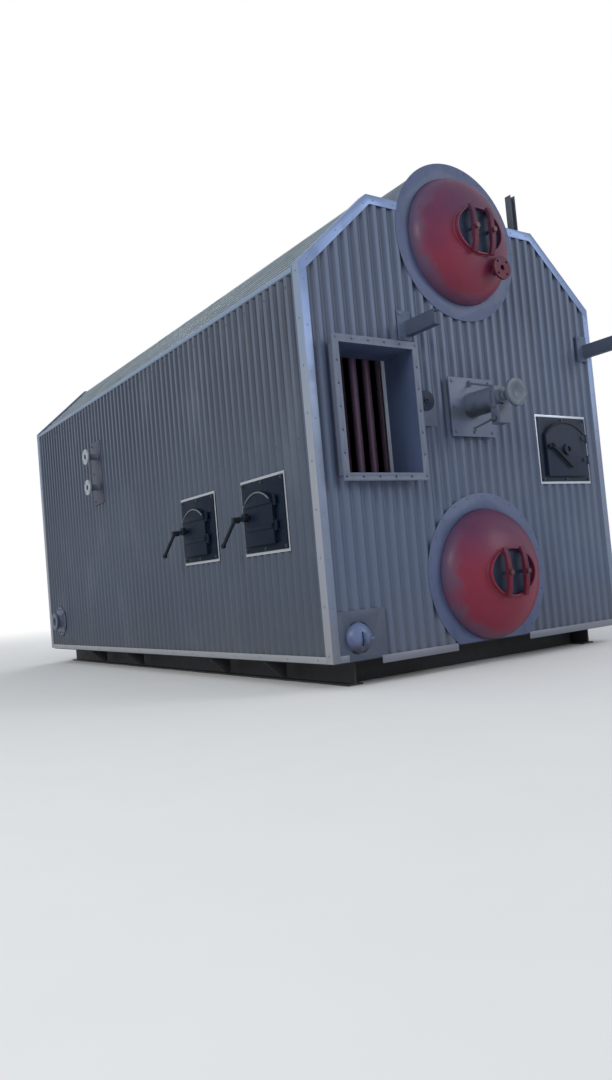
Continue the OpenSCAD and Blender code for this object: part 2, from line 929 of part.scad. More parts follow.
module soot_blower_lever() {
  root = [-70, 12, -3];
  tip = [-82, 177, -37];
  color([0.10, 0.10, 0.11])
  translate([lance_x, blower_y - 262, lance_z - 150])
  difference() {
    union() {
      rod_x(16, -82, -57);
      aim(root, tip) knobbed_bar(norm(tip - root), 7, 11);
    }
    rod_x(8.6, -100, -50);
  }
}

module soot_blower_wheel() {
  color([0.50, 0.54, 0.58])
  translate([lance_x, blower_y, lance_z])
  difference() {
    union() {
      rotate([90, 0, 0])
      translate([0, 0, 388])
      rotate_extrude($fn = 72)
      polygon([[0, 22], [30, 22], [62, 40], [96, 40], [96, 12], [84, 8], [60, 20], [34, 4], [0, 4]]);
      rod_y(24, -408, -376);
    }
    rod_y(14.6, -405, -360);
  }
}

// Nozzles and ports
module side_nozzle_pad() {
  color([0.42, 0.46, 0.52])
  box([-hw - 6, pad_y, pad_z], [-hw, pad_y + pad_w, pad_z + pad_h]);
}

module side_nozzles() {
  color([0.55, 0.58, 0.62])
  for (z = nozzle_z)
    translate([-hw, nozzle_y, z0 + z])
    difference() {
      union() {
        rod_x(nozzle_bore / 2 + 6, -126, -6);
        rod_x(nozzle_flange_d / 2, -126, -108);
      }
      rod_x(nozzle_bore / 2, -130, 0);
      for (a = [45 : 90 : 315])
        rotate([a, 0, 0]) translate([0, 0, nozzle_pcd / 2]) rod_x(9, -130, -100);
    }
}

module sight_port() {
  color([0.42, 0.46, 0.52])
  translate([sight_x, -hl, sight_z])
  difference() {
    union() {
      box([-98, -4, -179], [98, 0, 40]);
      rod_y(72, -16, 0);
      rod_y(20, -24, -10);
    }
    rod_y(9, -30, -10);
  }
}

module lower_headers() {
  color([0.36, 0.40, 0.50]) {
    for (x = [header_x, -header_x])
      translate([x, 0, header_z])
      difference() {
        rod_y(header_r, x < 0 ? -hl : -y_in + 200, hl + 30);
        rod_y(header_r - 12, x < 0 ? -hl - 10 : -y_in + 212, hl + 18);
      }
    translate([header_x, -hl, header_z])
    union() {
      difference() {
        rotate([90, 0, 0])
        rotate_extrude($fn = 64)
        polygon(concat([[0, 0]], [for (i = [0 : 9]) [header_r * cos(10 * i), 70 * sin(10 * i)]]));
        box([-20, -80, -48], [-2, -46, 40]);
      }
      box([2, -96, -40], [18, -50, 32]);
      translate([0, -80, -8]) rod_x(10, 10, 62);
    }
  }
}

module low_side_port() {
  color([0.42, 0.46, 0.52])
  translate([-hw, low_port_y, low_port_z])
  difference() {
    union() {
      rod_x(162, -10, 0);
      rod_x(70, -70, -8);
      rod_x(95, -84, -66);
    }
    rod_x(48, -90, -40);
  }
}

// Brackets
module platform_brackets() {
  color([0.42, 0.46, 0.52])
  for (x = bracket_x)
    translate([x, -hl, bracket_z]) {
      box([-90, -10, -30], [28, 0, 180]);
      rotate([90, 0, 0])
      translate([0, 0, 10])
      linear_extrude(290)
      difference() {
        translate([-28, 0]) square([56, 104]);
        translate([-20, 8]) square([60, 88]);
      }
    }
}

module roof_post() {
  color([0.25, 0.27, 0.30])
  translate([post_x, -hl + 120, z0 + flat_z]) {
    box([-40, -40, 0], [40, 40, 8]);
    linear_extrude(362)
    difference() {
      square(56, center = true);
      for (s = [0, 1])
        mirror([0, s]) translate([-21, 3]) square([42, 60]);
    }
  }
}

base_skids();
base_cross_beams();
base_gussets();
deck_plate();
side_wall_left();
side_wall_right();
end_wall_outlet();
end_wall_feed();
roof_slopes();
roof_flats();
drum_casing();
corner_trims();
rake_trims();
eave_trims();
bottom_trims();
upper_drum_shell();
lower_drum_shell();
drum_heads_outlet();
drum_heads_feed();
drum_cover_rings();
manhole_covers();
manhole_yokes();
head_nozzle();
drum_saddles();
bank_tubes();
flue_duct();
flue_flange();
end_door_frame();
end_door();
end_door_latch();
side_door_frames();
side_door_near();
side_door_near_lever();
side_door_far();
side_door_far_lever();
door_trims();
soot_blower_plate();
soot_blower_body();
soot_blower_lever();
soot_blower_wheel();
side_nozzle_pad();
side_nozzles();
sight_port();
lower_headers();
header_cover();
low_side_port();
platform_brackets();
roof_post();
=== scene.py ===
# %% [markdown]
# # A water-tube boiler body
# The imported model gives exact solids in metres: +Z is up, the outlet end faces -Y and the
# furnace doors face -X. This lesson dresses them: ribbed cladding with rounded ribs, red
# dished drum heads, cast doors, weld beads, screws, and a painted finish for each surface.

import math

import bmesh
import bpy
from mathutils import Matrix, Vector


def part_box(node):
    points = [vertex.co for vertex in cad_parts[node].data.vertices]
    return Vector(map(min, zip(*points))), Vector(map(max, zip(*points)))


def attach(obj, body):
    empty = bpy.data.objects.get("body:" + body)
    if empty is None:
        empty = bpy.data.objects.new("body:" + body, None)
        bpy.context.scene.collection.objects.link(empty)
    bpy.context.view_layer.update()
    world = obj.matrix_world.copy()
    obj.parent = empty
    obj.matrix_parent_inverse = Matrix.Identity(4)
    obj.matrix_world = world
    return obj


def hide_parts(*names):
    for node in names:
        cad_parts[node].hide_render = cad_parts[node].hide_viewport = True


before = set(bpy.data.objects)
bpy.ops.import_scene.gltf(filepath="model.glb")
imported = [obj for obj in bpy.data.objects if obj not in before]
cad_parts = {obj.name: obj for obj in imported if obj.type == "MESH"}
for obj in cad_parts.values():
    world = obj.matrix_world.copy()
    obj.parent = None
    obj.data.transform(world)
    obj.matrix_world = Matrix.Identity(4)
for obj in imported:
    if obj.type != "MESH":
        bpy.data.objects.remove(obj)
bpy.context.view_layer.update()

# %% [markdown]
# ## Sizes that several pieces share
# The walls' own boxes give the casing's half width and half length, so the dressing stays
# on the model when it changes. What no box shows, such as the rib pitch, is written here: the
# heights of the eaves and the ridge, the drums' axes and radius, the cover rings' radius.

# %% Shared sizes
WALL_LO, WALL_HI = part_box("end_wall_outlet")
HALF_W = WALL_HI.x
HALF_L = -WALL_LO.y
DECK = WALL_LO.z
INNER_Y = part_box("side_wall_left")[1].y
WALL = HALF_L - INNER_Y
EAVE = DECK + 2.566
RIDGE = DECK + 3.118
RIDGE_HALF = 1.665 / 2
ROOF_DROP = 0.016
PITCH = 0.090
COLUMNS = 12
GROOVE = 0.018
SHEET = 0.003
SHEET_WIDTH = 0.90
UPPER = DECK + 2.912
LOWER = DECK + 0.472
DRUM_R = 0.468
HEAD_H = DRUM_R / 2
RING_R = 1.174 / 2
HUMP_R = RING_R - 0.020
NOZZLE_BORE = 0.0520
print("half width", round(HALF_W, 3), "half length", round(HALF_L, 3), "deck", round(DECK, 3))

# %% [markdown]
# ## One wrapper for node trees
# Typing node maths by hand hides the idea. `Val` wraps a socket and turns Python's operators
# into Math nodes, and `Graph.add` makes any other node: its type, its settings, its inputs.


# %% Node helpers
class Val:
    """A node's output that Python's arithmetic works on."""

    def __init__(self, graph, socket):
        self.graph, self.socket = graph, socket

    def math(self, operation, other=None, swapped=False):
        values = {0: self} if other is None else {0: self, 1: other}
        if swapped:
            values = {0: other, 1: self}
        return self.graph.add("ShaderNodeMath", {"operation": operation}, values)

    def __add__(self, other):
        return self.math("ADD", other)

    def __radd__(self, other):
        return self.math("ADD", other)

    def __sub__(self, other):
        return self.math("SUBTRACT", other)

    def __rsub__(self, other):
        return self.math("SUBTRACT", other, swapped=True)

    def __mul__(self, other):
        return self.math("MULTIPLY", other)

    def __rmul__(self, other):
        return self.math("MULTIPLY", other)

    def __truediv__(self, other):
        return self.math("DIVIDE", other)

    def __pow__(self, other):
        return self.math("POWER", other)


class Graph:
    """Adds nodes to one tree."""

    def __init__(self, tree):
        self.tree = tree
        tree.nodes.clear()

    def put(self, socket, value):
        """Links a value to a socket, or sets the socket's own number or colour."""
        if isinstance(value, Val):
            self.tree.links.new(value.socket, socket)
        elif hasattr(socket, "default_value"):
            if isinstance(value, (tuple, list)) and socket.type == "RGBA" and len(value) == 3:
                value = (*value, 1.0)
            socket.default_value = value

    def add(self, kind, settings=None, values=None, out=0):
        """A node of this kind with its settings and inputs; returns one of its outputs."""
        node = self.tree.nodes.new(kind)
        for key, value in (settings or {}).items():
            setattr(node, key, value)
        for key, value in (values or {}).items():
            self.put(node.inputs[key], value)
        return Val(self, node.outputs[out])


# %% [markdown]
# ## Building blocks of a finish
# Every paint here is a base colour changed by a few masks: broad fading, streaks that run
# down, dust that settles low, chips. The masks are noises read in object coordinates, which
# are metres on this model, so a scale of 10 means features of about 100 mm.


# %% Masks and mixes
class Paint(Graph):
    """A material whose masks and colours are built with a few short calls."""

    def __init__(self, name):
        self.material = bpy.data.materials.new(name)
        self.material.use_nodes = True
        super().__init__(self.material.node_tree)
        self.place = self.add("ShaderNodeTexCoord", out="Object")
        split = self.add("ShaderNodeSeparateXYZ", values={0: self.place})
        self.x, self.y, self.z = (Val(self, split.socket.node.outputs[n]) for n in range(3))

    def noise(self, scale, detail=3.0, stretch=(1, 1, 1), shift=0.0, rough=0.55):
        """Noise between 0 and 1; stretch squeezes it, shift takes it from another place."""
        moved = (shift, shift * 0.7, shift * 1.3)
        place = self.add("ShaderNodeMapping", values={0: self.place, 1: moved, 3: stretch})
        values = {"Vector": place, "Scale": scale, "Detail": detail, "Roughness": rough}
        return self.add("ShaderNodeTexNoise", values=values)

    def ramp(self, value, low, high, a=0.0, b=1.0):
        """Smooth step from a at low to b at high."""
        settings = {"interpolation_type": "SMOOTHSTEP"}
        return self.add("ShaderNodeMapRange", settings, {0: value, 1: low, 2: high, 3: a, 4: b})

    def mix(self, factor, a, b):
        """From colour a to colour b where the mask grows from 0 to 1."""
        settings = {"data_type": "RGBA", "blend_type": "MIX", "clamp_factor": True}
        return self.add("ShaderNodeMix", settings, {0: factor, 6: a, 7: b}, out=2)

    def shade(self, colour, level):
        """The colour made lighter or darker by a value that varies."""
        settings = {"operation": "SCALE"}
        return self.add("ShaderNodeVectorMath", settings, {0: colour, 3: level})

    def height(self, height, distance, strength=1.0, below=None):
        """Relief of a few tenths of a millimetre up to millimetres, over another relief."""
        values = {"Height": height, "Distance": distance, "Strength": strength}
        if below is not None:
            values["Normal"] = below
        return self.add("ShaderNodeBump", values=values)

    def done(self, colour, roughness, metallic=0.0, normal=None, coat=0.0, sheen=0.5):
        """The finished shader; sheen is how strongly a bare surface mirrors."""
        values = {"Base Color": colour, "Roughness": roughness, "Metallic": metallic}
        values |= {"Coat Weight": coat, "Coat Roughness": 0.28, "Specular IOR Level": sheen}
        if normal is not None:
            values["Normal"] = normal
        shader = self.add("ShaderNodeBsdfPrincipled", values=values)
        return self.output(shader)

    def output(self, shader):
        """Ends the tree and gives the material."""
        ending = self.tree.nodes.new("ShaderNodeOutputMaterial")
        self.put(ending.inputs[0], shader)
        return self.material


# %% [markdown]
# ## Ribbed cladding
# The real sheets are colour-coated steel, about 0.9 m wide. Each sheet has its own tone, the
# grooves hold more dust and are painted a little darker as shade, rain leaves streaks, and the
# bottom half metre is dusty. The ribs' own geometry stores how deep each point lies as an
# attribute, which the paint reads as a mask. High up, the grooves get painted shade and the
# crests painted light, so the ribs stand out. The long sides show that plainly and the ends
# hardly, so the strength of this painted shading is an input of the recipe.


# %% Cladding paint
def cladding_paint(name, colour, across, shift, painted_rib_shading):
    p = Paint(name)
    groove = p.add("ShaderNodeAttribute", {"attribute_name": "groove"}, out="Fac")
    along = {"x": p.x, "y": p.y}[across]
    sheet = (along / SHEET_WIDTH + shift).math("FLOOR")
    tone = p.add("ShaderNodeTexWhiteNoise", {"noise_dimensions": "1D"}, {"W": sheet})
    broad = p.noise(0.9, 2, shift=shift)
    streak = p.noise(9, 4, (1, 1, 0.05), shift)
    fine = p.noise(60, 3, (1, 1, 0.4), shift)
    level = 0.90 + tone * 0.10 + broad * 0.14 + streak * 0.10
    # Painted light and shade on the ribs, growing towards the top: crests lighter, grooves darker and
    # bluer, and every groove a little darker.
    high = p.ramp(p.z, 1.25, 2.5) * painted_rib_shading
    painted_groove_shade = p.ramp(groove, 0.01, 0.22) * high
    level = level * (1.02 - groove * 0.04) * (high * 0.46 - painted_groove_shade * 0.90 + 1.0)
    base = p.mix(painted_groove_shade * 0.30, p.shade(colour, level), (0.034, 0.038, 0.076))
    runs = p.ramp(streak * p.ramp(p.z, 0.3, 2.6, 0.8, 1.05), 0.52, 0.70)
    base = p.mix(runs * 0.30, base, (0.060, 0.066, 0.078))
    chalk = p.ramp(p.noise(2.2, 5, (1, 1, 0.5), shift + 3), 0.52, 0.74)
    base = p.mix(chalk * 0.13, base, (0.24, 0.275, 0.33))
    dust = p.ramp(p.z + p.noise(5, 4, shift=shift) * 0.5, 0.95, 0.35) * (0.45 + groove * 0.4)
    base = p.mix(dust * 0.45, base, (0.135, 0.130, 0.125))
    specks = p.ramp(p.noise(220, 2, shift=shift), 0.70, 0.76)
    base = p.mix(specks * 0.35, base, (0.42, 0.44, 0.46))
    rough = 0.40 + broad * 0.10 + fine * 0.10 + dust * 0.22
    dents = p.noise(3.0, 2, (1, 1, 0.35), shift + 5)
    relief = p.height(fine, 0.0006, 0.35, p.height(dents, 0.006, 0.5))
    return p.done(base, rough, 0.15, relief, sheen=0.5 - painted_rib_shading * 0.25)


SIDE_PAINT = cladding_paint("side cladding paint", (0.066, 0.083, 0.116), "y", 1.7, 1.0)
END_PAINT = cladding_paint("end cladding paint", (0.078, 0.102, 0.165), "x", 4.1, 0.3)
print("cladding paints", SIDE_PAINT.name, END_PAINT.name)

# %% [markdown]
# ## Roof, trims and galvanised parts
# The roof sheets have painted light on their crests, painted shade in their grooves, and dust;
# the plain casing over the upper drum has the same coating without crests. The folded trims
# are bare bright sheet: metal with a dull, cloudy surface and handling marks rather than a
# mirror, a painted highlight where they face along X, a painted reflection of a bluish sky
# high up, and dust low down.


# %% Roof and bright sheet
def roof_paint(name, colour, crest):
    """Sheet coating; crest is how much painted light brightens the ribs' crests over the colour, and the
    grooves get painted shade.
    """
    p = Paint(name)
    groove = p.add("ShaderNodeAttribute", {"attribute_name": "groove"}, out="Fac")
    broad = p.noise(1.3, 4, shift=2.2)
    streak = p.noise(14, 3, (1, 0.06, 1), 8)
    # Painted shade in the grooves; the crest factor is painted light on the crests.
    painted_valley_shade = p.ramp(groove, 0.0, 0.55)
    base = p.shade(colour, (0.86 + broad * 0.2 + streak * 0.1) * (crest - painted_valley_shade * 1.15))
    dust = p.ramp(p.noise(4, 5, shift=6), 0.45, 0.75)
    base = p.mix(dust * 0.30, base, (0.18, 0.19, 0.19))
    return p.done(base, 0.42 + dust * 0.3, 0.1, p.height(p.noise(45, 2), 0.0006, 0.3))


def bright_sheet(name, colour, shift):
    p = Paint(name)
    cloud = p.noise(6, 4, shift=shift)
    brushed = p.noise(120, 3, (1, 1, 0.08), shift)
    base = p.shade(colour, 0.84 + cloud * 0.24 + brushed * 0.08)
    dull = p.ramp(p.noise(2.5, 5, shift=shift + 4), 0.50, 0.72)
    base = p.mix(dull * 0.5, base, (0.16, 0.18, 0.24))
    # Painted reflection of a bluish sky, growing towards the top.
    painted_sky_reflection = p.ramp(p.z + cloud * 0.3, 1.7, 2.8)
    base = p.mix(painted_sky_reflection * 0.38, base, (colour[0] * 0.75, colour[1] * 1.12, colour[2] * 1.75))
    low = p.ramp(p.z + cloud * 0.4, 0.85, 0.35)
    base = p.mix(low * 0.45, base, (0.20, 0.175, 0.17))
    # Painted highlight: the legs that face along X are painted lighter, neutral low down and bluish high
    # up.
    face = HALF_W + SHEET
    painted_side_highlight = p.ramp(p.x.math("ABSOLUTE"), face - 0.0008, face) * 0.55
    pale = p.mix(p.ramp(p.z, 1.3, 2.5), (0.37, 0.375, 0.38), (0.23, 0.29, 0.35))
    base = p.mix(painted_side_highlight, base, pale)
    rough = 0.34 + cloud * 0.14 + dull * 0.15
    metal = (0.55 - dull * 0.30) * (1.0 - painted_side_highlight)
    return p.done(base, rough, metal, p.height(p.noise(22, 3, shift=shift), 0.0012, 0.5))


ROOF_PAINT = roof_paint("roof sheet", (0.098, 0.133, 0.160), 1.55)
CASING_PAINT = roof_paint("drum casing sheet", (0.082, 0.114, 0.150), 1.0)
TRIM_SHEET = bright_sheet("folded trim", (0.182, 0.220, 0.312), 3.0)
DOOR_TRIM_SHEET = bright_sheet("door trim", (0.43, 0.46, 0.52), 9.0)

# %% [markdown]
# ## Red drum heads
# The dished heads carry red paint that turns purple towards the top, and a painted highlight
# makes the top lighter and pinker. Grey from the cladding work has drifted onto their rims,
# mostly at the lower left. The mask needs the distance from a drum's axis: both drums share
# the paint, so each height is taken from its own drum's axis.
# The yokes and the nozzle have the same paint, with less overspray and darker.


# %% Red paint
def red_paint(name, overspray, tone, coat):
    """Red paint; overspray and coat are strengths, tone makes all of it lighter or darker."""
    p = Paint(name)
    upper = p.z.math("GREATER_THAN", (UPPER + LOWER) / 2)
    dz = p.z - (upper * (UPPER - LOWER) + LOWER)
    radius = (p.x * p.x + dz * dz) ** 0.5
    broad = p.noise(3.2, 4, shift=1.1)
    cloud = p.noise(9, 5, shift=7.7)
    crimson = p.ramp(broad * 0.7 - dz - p.x * 0.2 - upper * 0.24, -0.12, 0.56)
    base = p.mix(crimson, (0.076, 0.014, 0.060), (0.185, 0.011, 0.036))
    # Painted highlight: the top of each head is painted lighter and pinker.
    painted_top_highlight = p.ramp(cloud + dz * 0.55, 0.50, 0.95)
    base = p.mix(painted_top_highlight * 0.28, base, (0.125, 0.036, 0.070))
    side = p.ramp(0.0 - p.x - dz * 0.55, -0.30, 0.42)
    rim = p.ramp(radius + cloud * 0.12 + broad * 0.08, 0.490, 0.585)
    grey = rim * (0.12 + side * 0.88) * (0.85 + broad * 0.3)
    base = p.mix(grey * overspray, base, (0.070, 0.064, 0.122))
    runs = p.ramp(p.noise(16, 4, (1, 1, 0.12), 2), 0.56, 0.72)
    base = p.mix(runs * 0.35, base, (0.13, 0.014, 0.016))
    chips = p.ramp(p.noise(75, 3, shift=5), 0.67, 0.71)
    base = p.mix(chips * 0.8, base, (0.10, 0.045, 0.030))
    rough = 0.44 + cloud * 0.18 + painted_top_highlight * 0.10 + grey * 0.10
    skin = p.height(p.noise(55, 3, shift=3), 0.0012, 0.5)
    base = p.shade(base, 0.96 * tone + cloud * 0.08)
    return p.done(base, rough, 0.0, p.height(cloud, 0.004, 0.3, skin), coat, 0.30)


HEAD_PAINT = red_paint("red drum paint", 0.80, 1.0, 0.16)
FITTING_RED = red_paint("red fitting paint", 0.55, 0.58, 0.02)

# %% [markdown]
# ## Painted fittings, castings, tubes and the base
# One recipe covers the grey fittings: paint with cloudy fading, grime and a few rust
# blooms. Black castings get the pebbled skin that sand moulds leave. Tubes and the base are
# primer over mill scale, with more rust.


# %% Worn paint, castings and small parts
DUST = (0.17, 0.16, 0.15)


def worn_paint(name, colour, rust, grime, rough, grain, shift, dusty=0.0, soil=DUST, level=(0.42, 0.10)):
    """Rust, grime and dusty are strengths; soil covers what lies below the level."""
    p = Paint(name)
    broad = p.noise(4, 4, shift=shift)
    cloud = p.noise(17, 5, shift=shift + 2)
    base = p.shade(colour, 0.80 + broad * 0.24 + cloud * 0.18)
    dirt = p.ramp(p.noise(11, 5, (1, 1, 0.25), shift + 6), 0.48, 0.72)
    base = p.mix(dirt * grime, base, tuple(c * 0.42 for c in colour))
    bloom = p.ramp(p.noise(26, 6, (1, 1, 0.6), shift + 9, 0.7), 0.60, 0.68)
    base = p.mix(bloom * rust, base, (0.150, 0.050, 0.022))
    low = p.ramp(p.z + cloud * 0.15, *level) * dusty
    base = p.mix(low, base, soil)
    chips = p.ramp(p.noise(110, 3, shift=shift + 4), 0.69, 0.73)
    base = p.mix(chips * 0.5, base, tuple(min(1.0, c * 1.9 + 0.05) for c in colour))
    gloss = rough + cloud * 0.14 + bloom * rust * 0.4 + low * 0.3
    skin = p.height(p.noise(90, 4, shift=shift), grain, 0.7)
    return p.done(base, gloss, 0.0, skin)


def sand_casting(name, colour, shift, sheen=0.22):
    """Cast iron in a thin coat, with a pebbled skin, dust and some rust."""
    p = Paint(name)
    cloud = p.noise(14, 5, shift=shift)
    base = p.shade(colour, 0.7 + cloud * 0.7)
    dust = p.ramp(p.noise(9, 5, (1, 1, 0.5), shift + 3), 0.50, 0.78)
    base = p.mix(dust * 0.18, base, (0.034, 0.040, 0.052))
    rust = p.ramp(p.noise(30, 6, shift=shift + 8, rough=0.7), 0.62, 0.70)
    base = p.mix(rust * 0.45, base, (0.080, 0.030, 0.016))
    pebbles = p.noise(240, 3, shift=shift)
    rough = 0.42 + cloud * 0.2 + dust * 0.12
    return p.done(base, rough, 0.0, p.height(pebbles, 0.0012, 0.7), sheen=sheen)


def hardware(name, colour, metallic, shift):
    """Bolts, rivets and rims."""
    p = Paint(name)
    cloud = p.noise(60, 4, shift=shift)
    base = p.shade(colour, 0.75 + cloud * 0.5)
    return p.done(base, 0.32 + cloud * 0.25, metallic, p.height(p.noise(400, 2), 0.0004, 0.5))


# %% [markdown]
# ## Fittings with a recipe of their own
# Some fittings change along their length. A bracket's beam is painted darker than its plate
# as shade, and the sight port's cover is darker than its plate. The soot blower's barrel has
# painted shade on its underside and casts a painted shadow over its plate. The nozzles end in
# bare machined flanges with bores painted dark as shade, and the duct's inside is painted
# dark as shade. Each mask is worked out from the fitting's own place, so the change falls on
# the real edge.


# %% Paints that change along a fitting
def two_tone(name, split, near, far, shift):
    """Paint that changes colour where a fitting stands more than split out of the outlet end."""
    p = Paint(name)
    cloud = p.noise(15, 5, shift=shift)
    edge = -HALF_L - split
    far_mask = p.ramp(p.y, edge + 0.0005, edge - 0.0005)
    base = p.shade(p.mix(far_mask, near, far), 0.78 + cloud * 0.44)
    rust = p.ramp(p.noise(28, 6, shift=shift + 4, rough=0.7), 0.62, 0.70)
    base = p.mix(rust * 0.20, base, (0.110, 0.044, 0.024))
    return p.done(base, 0.42 + cloud * 0.16, 0.0, p.height(p.noise(90, 4), 0.0008, 0.7), sheen=0.2)


def blower_paint():
    """Grey paint with painted shade on the underside of the soot blower's barrel."""
    p = Paint("soot blower paint")
    cloud = p.noise(17, 5, shift=13)
    base = p.shade((0.080, 0.100, 0.150), 0.75 + cloud * 0.5)
    axis_z = DECK + 1.690
    # Painted shade: the barrel's underside, below its axis, is painted dark greenish grey.
    under = p.ramp(p.z + cloud * 0.04, axis_z + 0.01, axis_z - 0.05)
    barrel = p.ramp(p.y, -HALF_L - 0.275, -HALF_L - 0.255)
    base = p.mix(under * barrel * 0.75, base, (0.022, 0.032, 0.036))
    chips = p.ramp(p.noise(110, 3, shift=4), 0.68, 0.72)
    base = p.mix(chips * 0.4, base, (0.200, 0.220, 0.260))
    return p.done(base, 0.38 + cloud * 0.18, 0.0, p.height(p.noise(90, 4), 0.0012, 0.7))


def plate_paint():
    """A painted shadow of the barrel across the plate's left half."""
    p = Paint("soot blower plate paint")
    cloud = p.noise(9, 5, (1, 1, 0.5), 3)
    axis_z = DECK + 1.665
    # Painted shadow of the barrel: a dark greenish band around its height on the plate's left half.
    painted_barrel_shadow = p.ramp(p.z + cloud * 0.06, axis_z + 0.075, axis_z + 0.02)
    painted_barrel_shadow = painted_barrel_shadow * p.ramp(p.z + cloud * 0.05, axis_z - 0.09, axis_z - 0.02)
    painted_barrel_shadow = painted_barrel_shadow * p.ramp(p.x, 0.02, -0.06)
    base = p.shade((0.095, 0.120, 0.195), 0.80 + cloud * 0.4)
    base = p.mix(painted_barrel_shadow * 0.55, base, (0.030, 0.042, 0.046))
    chips = p.ramp(p.noise(110, 3, shift=9), 0.69, 0.73)
    base = p.mix(chips * 0.4, base, (0.210, 0.230, 0.280))
    return p.done(base, 0.38 + cloud * 0.16, 0.0, p.height(p.noise(90, 4), 0.0008, 0.7))


def nozzle_paint():
    """Painted pipe, bare machined flange and a bore painted dark as shade; both nozzles share the folded
    height.
    """
    axis_y, low, high, bore = -HALF_L + 3.790, DECK + 1.650, DECK + 1.958, NOZZLE_BORE / 2
    p = Paint("nozzle paint")
    upper = p.z.math("GREATER_THAN", (low + high) / 2)
    dy, dz = p.y - axis_y, p.z - (upper * (high - low) + low)
    # Painted shade: the inside of each nozzle's bore is painted nearly black.
    inside = p.ramp((dy * dy + dz * dz) ** 0.5, bore + 0.0008, bore - 0.0004)
    cloud = p.noise(40, 4, shift=17)
    flange = p.ramp(p.x, -HALF_W - 0.1065, -HALF_W - 0.1075)
    base = p.mix(flange, (0.135, 0.155, 0.215), (0.36, 0.39, 0.43))
    base = p.mix(inside, p.shade(base, 0.75 + cloud * 0.5), (0.010, 0.011, 0.015))
    metal = flange * 0.35 * (1.0 - inside)
    return p.done(base, 0.36 + cloud * 0.2, metal, p.height(p.noise(150, 3), 0.0004, 0.5))


def duct_paint():
    """Duct paint that turns to a dark painted shade on the faces inside the duct."""
    lo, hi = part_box("flue_duct")
    middle, half = (lo + hi) / 2, (hi - lo) / 2 - Vector((0.004, 0, 0.004))
    p = Paint("duct paint")
    cloud = p.noise(13, 5, shift=5)
    across = (p.x - middle.x).math("ABSOLUTE") / half.x
    upward = (p.z - middle.z).math("ABSOLUTE") / half.z
    inside = p.ramp(across.math("MAXIMUM", upward), 1.004, 0.996)
    base = p.shade((0.110, 0.132, 0.190), 0.85 + cloud * 0.3)
    # Painted shade for the faces inside the duct: a dark blue-grey laid over the duct paint.
    soot = p.shade((0.045, 0.067, 0.136), 0.7 + p.noise(7, 5, (1, 1, 0.3), 8) * 0.7)
    base = p.mix(inside, base, soot)
    return p.done(base, 0.42 + inside * 0.2 + cloud * 0.1, 0, p.height(p.noise(90, 4), 0.0008, 0.6))


# %% [markdown]
# ## The list of finishes
# Each finish is one call. After the colour, worn paint takes its rust, grime, roughness,
# grain in metres, shift of the noises and dust.

# %% Make the finishes
RING_PAINT = worn_paint("cover ring paint", (0.062, 0.086, 0.180), 0.10, 0.30, 0.42, 0.0005, 2)
DUCT_PAINT = duct_paint()
FLANGE_PAINT = worn_paint("flange paint", (0.100, 0.124, 0.188), 0.12, 0.35, 0.42, 0.0008, 5)
# The beam's colour is painted shade: the beam is painted darker than the plate it stands out from.
BRACKET_PLATE, BRACKET_BEAM_SHADE = (0.095, 0.122, 0.195), (0.050, 0.066, 0.108)
BRACKET_PAINT = two_tone("bracket paint", 0.011, BRACKET_PLATE, BRACKET_BEAM_SHADE, 27)
SIGHT_PLATE, SIGHT_COVER = (0.105, 0.128, 0.185), (0.014, 0.022, 0.048)
SIGHT_PAINT = two_tone("sight port paint", 0.006, SIGHT_PLATE, SIGHT_COVER, 33)
# The lip's light colour is a painted highlight.
LIP_HIGHLIGHT_PAINT = worn_paint("duct lip highlight paint", (0.42, 0.47, 0.56), 0.10, 0.30, 0.42, 0.0006, 7)
FITTING_PAINT = worn_paint("fitting paint", (0.092, 0.116, 0.180), 0.12, 0.40, 0.42, 0.0008, 11)
BLOWER_PAINT = blower_paint()
PLATE_PAINT = plate_paint()
NOZZLE_PAINT = nozzle_paint()
PAD_PAINT = worn_paint("nozzle pad paint", (0.030, 0.038, 0.072), 0.10, 0.35, 0.42, 0.0006, 21)
WHEEL_PAINT = worn_paint("hand wheel paint", (0.088, 0.110, 0.152), 0.15, 0.35, 0.38, 0.0008, 19)
# The header's paint turns much darker towards the bottom.
HEADER_DARK_BELOW, HEADER_DARK_LEVEL = (0.030, 0.027, 0.034), (0.42, 0.29)
HEADER_PAINT = worn_paint(
    "header paint", (0.105, 0.146, 0.285), 0.12, 0.35, 0.36, 0.0006, 23, 0.90, HEADER_DARK_BELOW, HEADER_DARK_LEVEL
)
POST_PAINT = worn_paint("roof post paint", (0.055, 0.070, 0.088), 0.35, 0.30, 0.50, 0.0008, 29)
TUBE_PAINT = worn_paint("tube primer", (0.156, 0.090, 0.152), 0.60, 0.35, 0.28, 0.0008, 31)
DRUM_PAINT = worn_paint("drum primer", (0.140, 0.050, 0.040), 0.55, 0.45, 0.62, 0.0012, 37)
BASE_PAINT = worn_paint("base primer", (0.009, 0.010, 0.015), 0.40, 0.30, 0.60, 0.0010, 41, 0.10)
COVER_SHEET = worn_paint("flat sheet paint", (0.054, 0.070, 0.115), 0.05, 0.30, 0.42, 0.0004, 67)
WELD_GREY = worn_paint("grey weld", (0.120, 0.138, 0.180), 0.40, 0.50, 0.45, 0.0006, 43)
WELD_RED = worn_paint("red weld", (0.155, 0.022, 0.030), 0.45, 0.50, 0.45, 0.0006, 47)
COVER_PAINT = sand_casting("manhole cover paint", (0.018, 0.027, 0.056), 61)
NUT_PAINT = hardware("painted nuts", (0.075, 0.016, 0.026), 0.1, 11.0)
CASTING = sand_casting("black casting", (0.004, 0.010, 0.023), 2.0, 0.12)
